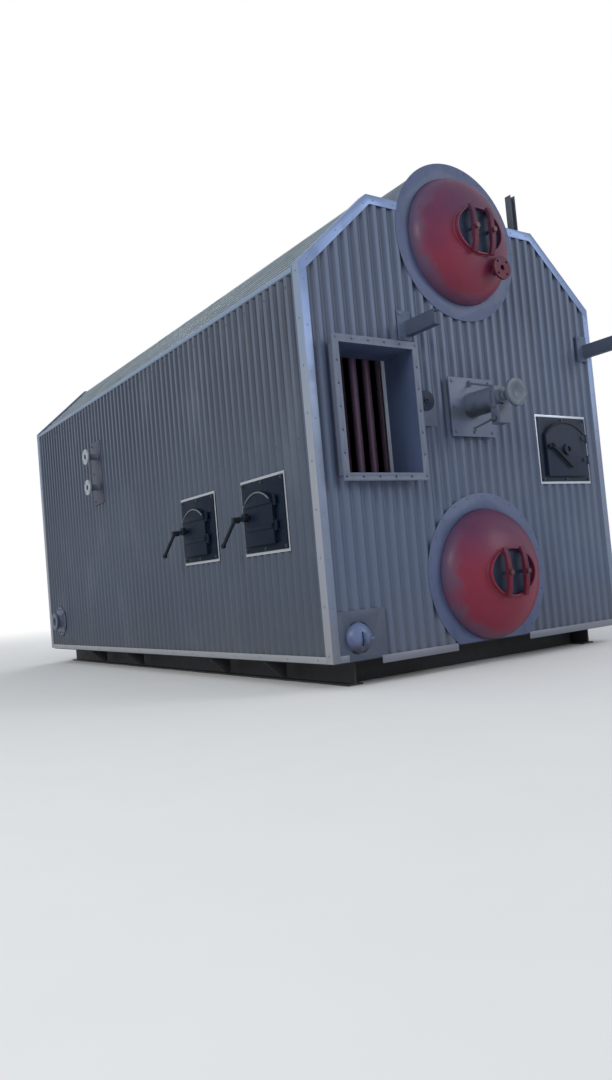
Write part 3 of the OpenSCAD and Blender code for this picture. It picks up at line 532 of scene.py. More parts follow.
# The end door takes a lighter, bluer copy of the black casting: painted light.
END_CASTING_LIT = sand_casting("end door casting painted light", (0.011, 0.019, 0.040), 5.0)
LEVER_CASTING = sand_casting("black lever", (0.006, 0.009, 0.016), 9.0)
BLOWER_LEVER_PAINT = sand_casting("soot blower lever paint", (0.062, 0.078, 0.098), 14.0)
RIVET = hardware("dull rivets", (0.15, 0.18, 0.25), 0.4, 1.0)
RING_RIVET = hardware("painted rivets", (0.058, 0.080, 0.155), 0.1, 6.0)
SCREW = hardware("painted screws", (0.080, 0.098, 0.122), 0.1, 8.0)
# The side doors' rims are painted lighter than their casting as a highlight.
RIM = hardware("rim painted light", (0.110, 0.125, 0.150), 0.2, 3.0)
DARK_BOLT = hardware("dark bolts", (0.045, 0.048, 0.055), 0.5, 4.0)
ROPE = worn_paint("fibre rope", (0.33, 0.32, 0.29), 0.05, 0.6, 0.85, 0.0015, 53)
print("finishes", len(bpy.data.materials))

# %% [markdown]
# ## Camera
# The picture is taken from left of the outlet end, close to the deck's height, with the
# camera a little turned about its own axis. The lens and place come from lining the casing's
# edges up with the photograph, so the same corner of the boiler points at the viewer.

# %% Place the camera
SENSOR, FOCAL_LENGTH = 36.0, 27.627
EYE = Vector((-4.444, -7.096, 0.707))
TURN, RISE, ROLL = math.radians(-34.25), math.radians(2.78), math.radians(-4.995)
ahead = Vector((-math.sin(TURN) * math.cos(RISE), math.cos(TURN) * math.cos(RISE), math.sin(RISE)))
level_right = ahead.cross(Vector((0, 0, 1))).normalized()
level_up = level_right.cross(ahead)
right = level_right * math.cos(ROLL) + level_up * math.sin(ROLL)
up = level_up * math.cos(ROLL) - level_right * math.sin(ROLL)
camera_data = bpy.data.cameras.new("camera")
camera_data.lens = FOCAL_LENGTH
camera_data.sensor_width = SENSOR
camera_data.clip_end = 200.0
camera = bpy.data.objects.new("camera", camera_data)
bpy.context.scene.collection.objects.link(camera)
axes = Matrix((right, up, -ahead)).transposed().to_4x4()
camera.matrix_world = Matrix.Translation(EYE) @ axes
bpy.context.scene.camera = camera
print("camera looks along", [round(v, 3) for v in ahead])

# %% [markdown]
# ## Floor, background and light
# A studio's pale floor and a broad, soft sky keep colours as they are painted. A large lamp
# from the left front shapes the ribs, and a weaker one from the right opens the shadows. The
# camera sees a white world; only its rays do, so the boiler isn't lit any more by it.


# %% Floor and world
def view_rays(graph, mirrored=1.0):
    """1 for the camera's own rays, and the mirrored share of them for glossy ones."""
    ray = graph.add("ShaderNodeLightPath", out="Is Camera Ray")
    glossy = Val(graph, ray.socket.node.outputs["Is Glossy Ray"])
    return ray.math("MAXIMUM", glossy * mirrored)


def floor_paint():
    p = Paint("studio floor")
    far = p.ramp((p.x * p.x + p.y * p.y) ** 0.5, 7.0, 16.0)
    grain = p.noise(3, 3)
    colour = p.shade((0.80, 0.80, 0.80), 0.98 + grain * 0.04)
    matt = p.add("ShaderNodeBsdfDiffuse", values={0: colour})
    white = p.add("ShaderNodeEmission", values={0: (1, 1, 1), 1: 1.0})
    seen = view_rays(p) * far
    return p.output(p.add("ShaderNodeMixShader", values={0: seen, 1: matt, 2: white}))


floor_mesh = bpy.data.meshes.new("floor")
reach = 30.0
corners = [(-reach, -reach, 0), (reach, -reach, 0), (reach, reach, 0), (-reach, reach, 0)]
floor_mesh.from_pydata(corners, [], [(0, 1, 2, 3)])
floor = bpy.data.objects.new("floor", floor_mesh)
bpy.context.scene.collection.objects.link(floor)
floor_mesh.materials.append(floor_paint())

world = bpy.data.worlds.new("studio")
bpy.context.scene.world = world
world.use_nodes = True
sky = Graph(world.node_tree)
soft = sky.add("ShaderNodeBackground", values={0: (0.90, 0.95, 1.0), 1: 0.66})
white = sky.add("ShaderNodeBackground", values={0: (1, 1, 1), 1: 1.0})
seen = view_rays(sky, 0.35)
mixed = sky.add("ShaderNodeMixShader", values={0: seen, 1: soft, 2: white})
sky_output = sky.tree.nodes.new("ShaderNodeOutputWorld")
sky.put(sky_output.inputs[0], mixed)
bpy.context.scene.view_settings.view_transform = "Standard"


# %% Lamps
def lamp(name, place, target, size, watts, colour):
    """A round soft lamp that faces its target."""
    data = bpy.data.lights.new(name, "AREA")
    data.shape, data.size, data.energy, data.color = "DISK", size, watts, colour
    made = bpy.data.objects.new(name, data)
    bpy.context.scene.collection.objects.link(made)
    made.location = place
    made.rotation_mode = "QUATERNION"
    made.rotation_quaternion = (Vector(target) - Vector(place)).to_track_quat("-Z", "Y")
    return made


lamp("key", (-12.0, -6.0, 7.5), (0, -0.5, 1.8), 5.0, 620, (1.0, 0.985, 0.96))
lamp("fill", (7.0, -12.0, 6.0), (0, -1.0, 1.8), 5.0, 300, (0.94, 0.97, 1.0))
lamp("back", (6.0, 11.0, 7.0), (0, 0, 2.0), 6.0, 360, (1.0, 1.0, 1.0))

# %% [markdown]
# ## Making pieces
# A few helpers make every piece. `loose` turns a mesh into an object with its finish, and
# `declare` sets the body it moves with and hides the nodes it stands for. `bake` turns
# modifiers into plain mesh.
# `refine` dresses a solid that already has the right form: its triangles are merged, its
# sharp edges get a small radius, and round faces are shaded smooth.


# %% Piece helpers
def declare(obj, body, replaced=()):
    """Sets the body a piece moves with and hides the nodes it stands for."""
    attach(obj, body)
    if replaced:
        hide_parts(*replaced)
    return obj


def loose(name, mesh, material):
    """An object that isn't declared yet."""
    obj = bpy.data.objects.new(name, mesh)
    bpy.context.scene.collection.objects.link(obj)
    mesh.materials.clear()
    mesh.materials.append(material)
    return obj


def smooth(mesh, degrees=35):
    """Soft shading, except over edges sharper than this."""
    mesh.shade_smooth()
    mesh.set_sharp_from_angle(angle=math.radians(degrees))


def bake(obj, degrees=35):
    """Turns the object's modifiers into plain mesh."""
    deps = bpy.context.evaluated_depsgraph_get()
    mesh = bpy.data.meshes.new_from_object(obj.evaluated_get(deps), depsgraph=deps)
    obj.modifiers.clear()
    obj.data = mesh
    mesh.name = obj.name
    smooth(mesh, degrees)
    return obj


def merged(points, faces):
    """An editable mesh whose points in one place are one point."""
    bm = bmesh.new()
    verts = [bm.verts.new(p) for p in points]
    for face in faces:
        bm.faces.new([verts[n] for n in face])
    bmesh.ops.remove_doubles(bm, verts=bm.verts, dist=1e-6)
    return bm


def written(bm, name):
    """Stores the editable mesh under a name."""
    mesh = bpy.data.meshes.new(name)
    bm.to_mesh(mesh)
    bm.free()
    return mesh


def solid_mesh(name, points, faces):
    """A closed mesh with its faces turned outwards."""
    bm = merged(points, faces)
    bmesh.ops.recalc_face_normals(bm, faces=bm.faces)
    return written(bm, name)


def refine(node, material, bevel=0.0, segments=2, body="boiler", degrees=35):
    """Dresses a CAD node whose form is right."""
    bm = bmesh.new()
    bm.from_mesh(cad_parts[node].data)
    bmesh.ops.remove_doubles(bm, verts=bm.verts, dist=1e-5)
    flat = math.radians(0.5)
    bmesh.ops.dissolve_limit(bm, angle_limit=flat, verts=bm.verts, edges=bm.edges)
    obj = loose(node + "_dressed", written(bm, node + "_dressed"), material)
    if bevel:
        edge = obj.modifiers.new("edges", "BEVEL")
        edge.width, edge.segments = bevel, segments
        edge.limit_method, edge.angle_limit = "ANGLE", math.radians(degrees)
    bake(obj, degrees)
    print(obj.name, len(obj.data.polygons), "faces")
    return declare(obj, body, [node])


# %% [markdown]
# ## What every geometry tree shares
# Each Geometry Nodes tree here starts with named inputs for its sizes and ends in real mesh
# with one finish. Two helpers write that start and that end. A third sets a modifier's
# inputs before the object is first evaluated.

# %% Starting and ending a geometry tree
def start_tree(name, inputs):
    """A tree with named inputs; returns it, its graph and the inputs as values."""
    tree = bpy.data.node_groups.new(name, "GeometryNodeTree")
    for label, kind, value in [("Geometry", "Geometry", None), *inputs, ("Finish", "Material", None)]:
        socket = tree.interface.new_socket(label, in_out="INPUT", socket_type="NodeSocket" + kind)
        if value is not None:
            socket.default_value = value
    tree.interface.new_socket("Geometry", in_out="OUTPUT", socket_type="NodeSocketGeometry")
    g = Graph(tree)
    entry = g.add("NodeGroupInput").socket.node
    return tree, g, {s.name: Val(g, s) for s in entry.outputs if s.name}


def finish_tree(g, geometry, material):
    """Real mesh in the given finish, because instances are dropped by the export."""
    real = g.add("GeometryNodeRealizeInstances", values={0: geometry})
    made = g.add("GeometryNodeSetMaterial", values={"Geometry": real, "Material": material})
    g.put(g.tree.nodes.new("NodeGroupOutput").inputs[0], made)


def set_inputs(modifier, values):
    """Sets a modifier's inputs by their names, through the sockets' identifiers."""
    for item in modifier.node_group.interface.items_tree:
        if item.item_type == "SOCKET" and item.in_out == "INPUT" and item.name in values:
            modifier[item.identifier] = values[item.name]


# %% [markdown]
# ## Pressed ribs
# A rib is a rule, not a shape: every 90 mm the sheet dips by 18 mm with rounded shoulders.
# So each wall starts flat, with a column of points every 7.5 mm, and one Geometry Nodes tree
# presses the ribs in. It pushes only the points marked `press`, which are the outer face
# away from the corners, and stores how deep each point went for the paint to read.

# %% The rib tree
def make_rib_tree():
    inputs = [("Across", "Vector", None), ("Inwards", "Vector", None), ("Phase", "Float", 0.0)]
    inputs += [("Pitch", "Float", PITCH), ("Depth", "Float", GROOVE)]
    tree, g, given = start_tree("press ribs", inputs)
    place = g.add("GeometryNodeInputPosition")
    dot = {"operation": "DOT_PRODUCT"}
    along = g.add("ShaderNodeVectorMath", dot, {0: place, 1: given["Across"]}, out="Value")
    turn = ((along - given["Phase"]) / given["Pitch"] + 0.5).math("FRACT")
    away = (turn - 0.5).math("ABSOLUTE") * 2
    settings = {"interpolation_type": "SMOOTHSTEP"}
    deep = g.add("ShaderNodeMapRange", settings, {0: away, 1: 0.12, 2: 0.72, 3: 1.0, 4: 0.0})
    marked = {"data_type": "FLOAT"}
    press = g.add("GeometryNodeInputNamedAttribute", marked, {"Name": "press"})
    amount = deep * press
    scale = {"operation": "SCALE"}
    push = g.add("ShaderNodeVectorMath", scale, {0: given["Inwards"], 3: amount * given["Depth"]})
    kept = {"data_type": "FLOAT", "domain": "POINT"}
    values = {"Geometry": given["Geometry"], "Name": "groove", "Value": amount}
    stored = g.add("GeometryNodeStoreNamedAttribute", kept, values)
    moved = g.add("GeometryNodeSetPosition", values={"Geometry": stored, "Offset": push})
    finish_tree(g, moved, given["Finish"])
    return tree


RIB_TREE = make_rib_tree()


def press_ribs(obj, across, inwards, phase, material):
    """Presses ribs into the marked points; phase is where one groove's middle lies."""
    ribs = obj.modifiers.new("ribs", "NODES")
    ribs.node_group = RIB_TREE
    values = {"Across": Vector(across), "Inwards": Vector(inwards), "Phase": phase}
    values.update({"Pitch": PITCH, "Depth": GROOVE, "Finish": material})
    set_inputs(ribs, values)
    return bake(obj, 42)


# %% [markdown]
# ## Flat walls with openings
# A wall is cut into upright strips at every column of points. For each strip the holes that
# it crosses leave one or more spans, and neighbouring strips with the same span are joined
# into one closed solid. Round holes, the gable's slopes and the drum's hump are only
# functions that give a span's lower and upper end.


# %% Walls from spans
def marked_mesh(name, points, faces, pressed):
    """A closed mesh turned outwards, with the mark that lets the ribs press a point."""
    mesh = bpy.data.meshes.new(name)
    mesh.from_pydata(points, [], faces)
    mark = mesh.attributes.new("press", "FLOAT", "POINT")
    mark.data.foreach_set("value", pressed)
    bm = bmesh.new()
    bm.from_mesh(mesh)
    bmesh.ops.recalc_face_normals(bm, faces=bm.faces)
    bm.to_mesh(mesh)
    bm.free()
    return mesh


def grid_stops(reach, phase, extra):
    """Places of the columns: a regular grid on the ribs, and where something starts."""
    step = PITCH / COLUMNS
    first = math.ceil((-reach - phase) / step)
    last = math.floor((reach - phase) / step)
    stops = [phase + k * step for k in range(first, last + 1)] + [-reach, reach, *extra]
    tidy = []
    for u in sorted(s for s in stops if -reach - 1e-9 <= s <= reach + 1e-9):
        if not tidy or u - tidy[-1] > 1e-5:
            tidy.append(u)
    return tidy


def box_hole(a, b, low, high):
    """A hole from a to b along the wall, between two heights."""
    return {"a": a, "b": b, "low": lambda u: low, "high": lambda u: high}


def round_hole(cu, cz, r):
    """A round hole; its heights follow the circle."""

    def half(u):
        return math.sqrt(max(0.0, r * r - (u - cu) ** 2))

    return {"a": cu - r, "b": cu + r, "low": lambda u: cz - half(u), "high": lambda u: cz + half(u)}


def wall_mesh(name, reach, phase, floor_z, top, holes, place, rib_limit, bends=()):
    """Flat wall from spans; place(u, z, w) gives a point w behind the face."""
    stops = grid_stops(reach, phase, [h[k] for h in holes for k in "ab"] + list(bends))
    runs, open_runs = [], {}
    for ua, ub in zip(stops, stops[1:]):
        um = (ua + ub) / 2
        met = [n for n, h in enumerate(holes) if h["a"] < um < h["b"]]
        met.sort(key=lambda n: holes[n]["low"](um))
        ends = [-1, *met, len(holes)]
        now = {}
        for lower, upper in zip(ends, ends[1:]):
            bottom = floor_z if lower == -1 else holes[lower]["high"](um)
            ceiling = top(um) if upper == len(holes) else holes[upper]["low"](um)
            if ceiling - bottom > 1e-4:
                now[(lower, upper)] = open_runs.get((lower, upper), [ua]) + [ub]
        runs += [(k, v) for k, v in open_runs.items() if k not in now]
        open_runs = now
    runs += list(open_runs.items())
    points, faces, pressed = [], [], []
    for (lower, upper), us in runs:
        start = len(points)
        for u in us:
            bottom = floor_z if lower == -1 else holes[lower]["high"](u)
            ceiling = top(u) if upper == len(holes) else holes[upper]["low"](u)
            ceiling = max(ceiling, bottom + 2e-4)
            for z, w in ((bottom, 0), (ceiling, 0), (ceiling, WALL), (bottom, WALL)):
                points.append(place(u, z, w))
                pressed.append(1.0 if w == 0 and abs(u) < rib_limit else 0.0)
        for n in range(len(us) - 1):
            a, b = start + 4 * n, start + 4 * n + 4
            faces += [(a + k, b + k, b + (k + 1) % 4, a + (k + 1) % 4) for k in range(4)]
        end = start + 4 * (len(us) - 1)
        faces += [(start, start + 1, start + 2, start + 3), (end + 3, end + 2, end + 1, end)]
    print(name, len(runs), "solids", len(faces), "faces")
    return marked_mesh(name, points, faces, pressed)


# %% [markdown]
# ## The two ends
# The outlet end has five openings: both drums, the flue, the end door and a lower header. The
# feed end has both drums and two headers. Its outline is the gable with the upper drum's
# hump standing out of it.


# %% End walls
def gable_top(u):
    """Height of the end's outline: slopes, flat tops and the hump over the drum."""
    slope = (RIDGE - EAVE) / (HALF_W - RIDGE_HALF)
    roof = RIDGE if abs(u) <= RIDGE_HALF else RIDGE - slope * (abs(u) - RIDGE_HALF)
    if abs(u) >= HUMP_R:
        return roof
    return max(roof, UPPER + math.sqrt(HUMP_R**2 - u * u))


def opening(node):
    """The box of a node as a rectangular hole, x and z."""
    lo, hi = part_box(node)
    return box_hole(lo.x, hi.x, lo.z, hi.z)


HUMP_FOOT = math.sqrt(HUMP_R**2 - (RIDGE - UPPER) ** 2)
BENDS = (-RIDGE_HALF, RIDGE_HALF, -HUMP_FOOT, HUMP_FOOT)
DRUM_GAP = 0.0003
HEADER_X, HEADER_Z, HEADER_R = -HALF_W + 0.212, DECK + 0.144, 0.097
END_DOOR_X, END_DOOR_Z = HALF_W - 0.479, DECK + 1.391
END_HOLE_W, END_HOLE_H = 0.570, 0.505
CORNER_FLAT = 0.046
drum_holes = [round_hole(0, z, DRUM_R + DRUM_GAP) for z in (UPPER, LOWER)]
header_hole = round_hole(HEADER_X, HEADER_Z, HEADER_R)
door_hole = box_hole(
    END_DOOR_X - END_HOLE_W / 2,
    END_DOOR_X + END_HOLE_W / 2,
    END_DOOR_Z - END_HOLE_H / 2,
    END_DOOR_Z + END_HOLE_H / 2,
)
outlet_holes = [*drum_holes, opening("flue_duct"), door_hole, header_hole]
feed_holes = [*drum_holes, header_hole, round_hole(-HEADER_X, HEADER_Z, HEADER_R)]
for node, end, holes in (("end_wall_outlet", -1, outlet_holes), ("end_wall_feed", 1, feed_holes)):
    mesh = wall_mesh(
        node + "_ribbed",
        HALF_W,
        0.0,
        DECK,
        gable_top,
        holes,
        lambda u, z, w: (u, end * (HALF_L - w), z),
        HALF_W - CORNER_FLAT,
        BENDS,
    )
    wall = loose(node + "_ribbed", mesh, END_PAINT)
    press_ribs(wall, (1, 0, 0), (0, -end, 0), 0.0, END_PAINT)
    declare(wall, "boiler", [node])

# %% [markdown]
# ## The two long sides
# The left side has the two furnace doorways, cut to the door frames. Sixty-two ribs put a
# crest in the middle, so the grooves are half a pitch off centre.

# %% Side walls
DOOR_Y = (-HALF_L + 0.663, -HALF_L + 1.660)
DOOR_Z = DECK + 1.011
SIDE_HOLE_W, SIDE_HOLE_H = 0.560, 0.500
side_top = EAVE - ROOF_DROP - 0.030
low, high = DOOR_Z - SIDE_HOLE_H / 2, DOOR_Z + SIDE_HOLE_H / 2
side_holes = [box_hole(y - SIDE_HOLE_W / 2, y + SIDE_HOLE_W / 2, low, high) for y in DOOR_Y]
for node, side, holes in (("side_wall_left", -1, side_holes), ("side_wall_right", 1, [])):
    mesh = wall_mesh(
        node + "_ribbed",
        INNER_Y,
        PITCH / 2,
        DECK,
        lambda u: side_top,
        holes,
        lambda u, z, w: (side * (HALF_W - w), u, z),
        HALF_L,
    )
    wall = loose(node + "_ribbed", mesh, SIDE_PAINT)
    press_ribs(wall, (0, 1, 0), (-side, 0, 0), PITCH / 2, SIDE_PAINT)
    declare(wall, "boiler", [node])

# %% [markdown]
# ## Roof sheets
# The roof's ribs run the long way, so here the cross-section is drawn with its points along
# the sheet, stretched between the ends, and pressed by the same tree.


# %% Roof from a cross-section
def long_prism(name, outline, pressed):
    """Closed solid of a section (x, z) between the end walls."""
    n = len(outline)
    points = [(x, -INNER_Y, z) for x, z in outline] + [(x, INNER_Y, z) for x, z in outline]
    faces = [(k, (k + 1) % n, n + (k + 1) % n, n + k) for k in range(n)]
    faces += [tuple(range(n))[::-1], tuple(range(n, 2 * n))]
    return marked_mesh(name, points, faces, list(pressed) * 2)


SLOPE_W = HALF_W - RIDGE_HALF
SLOPE_H = RIDGE - EAVE
SLOPE_L = math.hypot(SLOPE_W, SLOPE_H)
ROOF_THICK = 0.108
low_edge = EAVE - ROOF_DROP - ROOF_THICK
count = math.floor((SLOPE_L - PITCH) / PITCH)
first_groove = (SLOPE_L - (count - 1) * PITCH) / 2
flat_foot = first_groove - PITCH / 2
steps = round(SLOPE_L / PITCH * COLUMNS)
for side in (-1, 1):
    line, marks = [(HALF_W, side_top)], [0.0]
    for k in range(steps + 1):
        s = SLOPE_L * k / steps
        line.append((HALF_W - SLOPE_W * s / SLOPE_L, EAVE - ROOF_DROP + SLOPE_H * s / SLOPE_L))
        marks.append(1.0 if flat_foot < s < SLOPE_L - flat_foot else 0.0)
    line.append((RIDGE_HALF, low_edge + SLOPE_H))
    line.append((HALF_W - (side_top - low_edge) * SLOPE_W / SLOPE_H, side_top))
    marks += [0.0, 0.0]
    mesh = long_prism("roof_slope", [(side * x, z) for x, z in line], marks)
    sheet = loose("roof_slope_left" if side < 0 else "roof_slope_right", mesh, ROOF_PAINT)
    across = Vector((-side * SLOPE_W / SLOPE_L, 0, SLOPE_H / SLOPE_L))
    inwards = Vector((-side * SLOPE_H / SLOPE_L, 0, -SLOPE_W / SLOPE_L))
    phase = Vector((side * HALF_W, 0, EAVE - ROOF_DROP)).dot(across) + first_groove
    press_ribs(sheet, across, inwards, phase, ROOF_PAINT)
    declare(sheet, "boiler", ["roof_slopes"])

FLAT_Z, FLAT_THICK, FLAT_STEPS = RIDGE - ROOF_DROP, 0.060, 45
CASING_THICK, TUCKED = 0.040, 0.009
flat_x = math.sqrt((HUMP_R - CASING_THICK) ** 2 - (FLAT_Z - UPPER) ** 2) - TUCKED
flat_w = RIDGE_HALF - flat_x
flat_mid = flat_x + flat_w / 2 + 0.020
for side in (-1, 1):
    line, marks = [], []
    for k in range(FLAT_STEPS + 1):
        x = flat_x + flat_w * k / FLAT_STEPS
        line.append((x, FLAT_Z))
        marks.append(1.0 if abs(x - flat_mid) < PITCH else 0.0)
    line += [(RIDGE_HALF, FLAT_Z - FLAT_THICK), (flat_x, FLAT_Z - FLAT_THICK)]
    marks += [0.0, 0.0]
    mesh = long_prism("roof_flat", [(side * x, z) for x, z in line], marks)
    sheet = loose("roof_flat_left" if side < 0 else "roof_flat_right", mesh, ROOF_PAINT)
    press_ribs(sheet, (1, 0, 0), (0, 0, -1), side * (flat_mid - PITCH / 2), ROOF_PAINT)
    declare(sheet, "boiler", ["roof_flats"])

# %% [markdown]
# ## Trims, base and the plain sheets
# These forms come from the solids. A fold in sheet metal has a radius, and so have rolled
# beams, so each gets one in proportion.

# %% Dress the sheet parts
refine("drum_casing", CASING_PAINT, 0.001)
for node, radius in (("corner", 0.0010), ("rake", 0.0008), ("eave", 0.0008), ("bottom", 0.0010)):
    refine(node + "_trims", TRIM_SHEET, radius)
refine("door_trims", DOOR_TRIM_SHEET, 0.0010)
refine("drum_cover_rings", RING_PAINT, 0.0012)
refine("base_skids", BASE_PAINT, 0.003)
refine("base_cross_beams", BASE_PAINT, 0.002)
for node in ("base_gussets", "deck_plate", "drum_saddles"):
    refine(node, BASE_PAINT, 0.0015)
for node in ("upper_drum_shell", "lower_drum_shell"):
    refine(node, DRUM_PAINT)

# %% [markdown]
# ## Dished heads
# A dished head is half an ellipsoid, half as deep as its radius. The manhole is oval, so a
# ring of points morphs from the oval to the round rim, and each point's depth follows from
# its distance to the axis. Spacing the rings by a sine crowds them where the head turns
# over. Solidify then gives the plate its thickness.


# %% Heads with manhole necks
MAN_A, MAN_B, NECK = 0.210, 0.160, 0.013
NECK_LAP, FLANGE, HEAD_PLATE = 0.002, 0.060, 0.020
NECK_OUT, NECK_LONG = 0.008, 0.060
AROUND, RINGS = 96, 26


def head_depth(r):
    """How far the dish stands out at this distance from the axis."""
    return HEAD_H * math.sqrt(max(0.0, 1 - (r / DRUM_R) ** 2))


def ring_faces(rows, closed):
    """Faces between neighbouring rings of AROUND points, and from the last to the first."""
    faces = []
    for k in range(rows if closed else rows - 1):
        a, b = k * AROUND, (k + 1) % rows * AROUND
        for n in range(AROUND):
            m = (n + 1) % AROUND
            faces.append((a + n, a + m, b + m, b + n))
    return faces


def dished_head(name, centre_z, end, hole):
    """A head with its straight flange, at the outlet end (-1) or the feed end (1)."""
    inner = (MAN_A + NECK - NECK_LAP, MAN_B + NECK - NECK_LAP) if hole else (0.0, 0.0)
    rows = []
    for k in range(RINGS + 1):
        s = math.sin(k / RINGS * math.pi / 2)
        row = []
        for n in range(AROUND):
            t = 2 * math.pi * n / AROUND
            x = (inner[0] * (1 - s) + DRUM_R * s) * math.cos(t)
            z = (inner[1] * (1 - s) + DRUM_R * s) * math.sin(t)
            row.append((x, -head_depth(math.hypot(x, z)), z))
        rows.append(row)
    rows.append([(x, FLANGE, z) for x, y, z in rows[-1]])
    points = [(x, end * (HALF_L - y), z + centre_z) for row in rows for x, y, z in row]
    faces = ring_faces(len(rows), False)
    bm = merged(points, faces)
    for face in bm.faces:
        c = face.calc_center_median()
        out = Vector((c.x, end * 0.2, c.z - centre_z))
        if face.normal.dot(out) < 0:
            face.normal_flip()
    obj = loose(name, written(bm, name), HEAD_PAINT)
    plate = obj.modifiers.new("plate", "SOLIDIFY")
    plate.thickness, plate.offset = HEAD_PLATE, -1.0
    return bake(obj, 40)


def oval_ring(name, centre_z, wall, y_out, y_in, material):
    """Short oval pipe round the manhole, with rounded lips."""
    points = []
    for grow, y in ((0, y_in), (wall, y_in), (wall, y_out), (0, y_out)):
        for n in range(AROUND):
            t = 2 * math.pi * n / AROUND
            points.append(((MAN_A + grow) * math.cos(t), y, centre_z + (MAN_B + grow) * math.sin(t)))
    obj = loose(name, solid_mesh(name, points, ring_faces(4, True)), material)
    lip = obj.modifiers.new("lip", "BEVEL")
    lip.width, lip.segments, lip.limit_method = 0.0035, 3, "ANGLE"
    return bake(obj, 40)


for z, level in ((UPPER, "upper"), (LOWER, "lower")):
    # the feed end's heads have no manhole
    head = dished_head(f"{level}_head_outlet", z, -1, True)
    declare(head, "boiler", ["drum_heads_outlet"])
    blind = dished_head(f"{level}_head_feed", z, 1, False)
    declare(blind, "boiler", ["drum_heads_feed"])
    lip_y = -HALF_L - HEAD_H - NECK_OUT
    neck = oval_ring(f"{level}_manhole_neck", z, NECK, lip_y, lip_y + NECK_LONG, HEAD_PAINT)
    declare(neck, "boiler")
refine("manhole_covers", COVER_PAINT, 0.003, 3)
refine("manhole_yokes", FITTING_RED, 0.005, 3)
refine("head_nozzle", FITTING_RED, 0.0025, 3)

# %% [markdown]
# ## Flue outlet and the tubes behind it
# The outlet is an angle-iron frame welded round a short square duct, with a lip where the
# duct meets the casing at the back, painted light as a highlight. Deep inside stand the tubes
# of the bank, in rusty primer.

# %% Dress the outlet
refine("flue_duct", DUCT_PAINT, 0.0012)
refine("flue_flange", FLANGE_PAINT, 0.0010)
refine("bank_tubes", TUBE_PAINT, degrees=50)


def plain_box(name, lo, hi, material):
    """A closed box between two corners."""
    corners = [(x, y, z) for x in (lo[0], hi[0]) for y in (lo[1], hi[1]) for z in (lo[2], hi[2])]
    sides = [(0, 1, 3, 2), (4, 6, 7, 5), (0, 4, 5, 1), (2, 3, 7, 6), (0, 2, 6, 4), (1, 5, 7, 3)]
    return declare(loose(name, solid_mesh(name, corners, sides), material), "boiler")


duct_lo, duct_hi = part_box("flue_duct")
DUCT_WALL, LIP_WIDTH, LIP_THICK = 0.008, 0.028, 0.006
lip_lo = (duct_hi.x - DUCT_WALL - LIP_WIDTH, duct_hi.y - LIP_THICK, duct_lo.z + DUCT_WALL)
lip_hi = (duct_hi.x - DUCT_WALL, duct_hi.y, duct_hi.z - DUCT_WALL)
plain_box("duct_back_lip", lip_lo, lip_hi, LIP_HIGHLIGHT_PAINT)

# %% [markdown]
# ## Castings, nozzles and the soot blower
# Castings are generously rounded, machined flanges only slightly.

# %% Dress the fittings
refine("end_door_frame", END_CASTING_LIT, 0.003, 3)
refine("side_door_frames", CASTING, 0.003, 3)
refine("end_door", END_CASTING_LIT, 0.004, 3, "end_door")
for node in ("side_door_near", "side_door_far"):
    refine(node, CASTING, 0.004, 3, node)
for node in ("end_door_latch", "side_door_near_lever", "side_door_far_lever"):
    refine(node, LEVER_CASTING, 0.003, 3, node)
refine("soot_blower_plate", PLATE_PAINT, 0.0015)
refine("soot_blower_body", BLOWER_PAINT, 0.003, 3)
refine("soot_blower_lever", BLOWER_LEVER_PAINT, 0.001, 2, "soot_blower_lever")
refine("soot_blower_wheel", WHEEL_PAINT, 0.002, 2, "soot_blower_wheel")
refine("side_nozzle_pad", PAD_PAINT, 0.0012)
refine("side_nozzles", NOZZLE_PAINT, 0.0015)
refine("sight_port", SIGHT_PAINT, 0.002)
refine("low_side_port", FITTING_PAINT, 0.002)
refine("lower_headers", HEADER_PAINT, 0.0015)
refine("header_cover", COVER_SHEET, 0.0006)
refine("platform_brackets", BRACKET_PAINT, 0.0015)
refine("roof_post", POST_PAINT, 0.0015)

# %% [markdown]
# ## Fasteners from points
# A bolt, a nut and a rivet differ in three numbers: sides, radius and height. One Geometry
# Nodes tree puts a washer and a head on each point of a cloud, turned to the point's `out`
# direction and spun by chance. A fixed seed keeps the result the same each time.


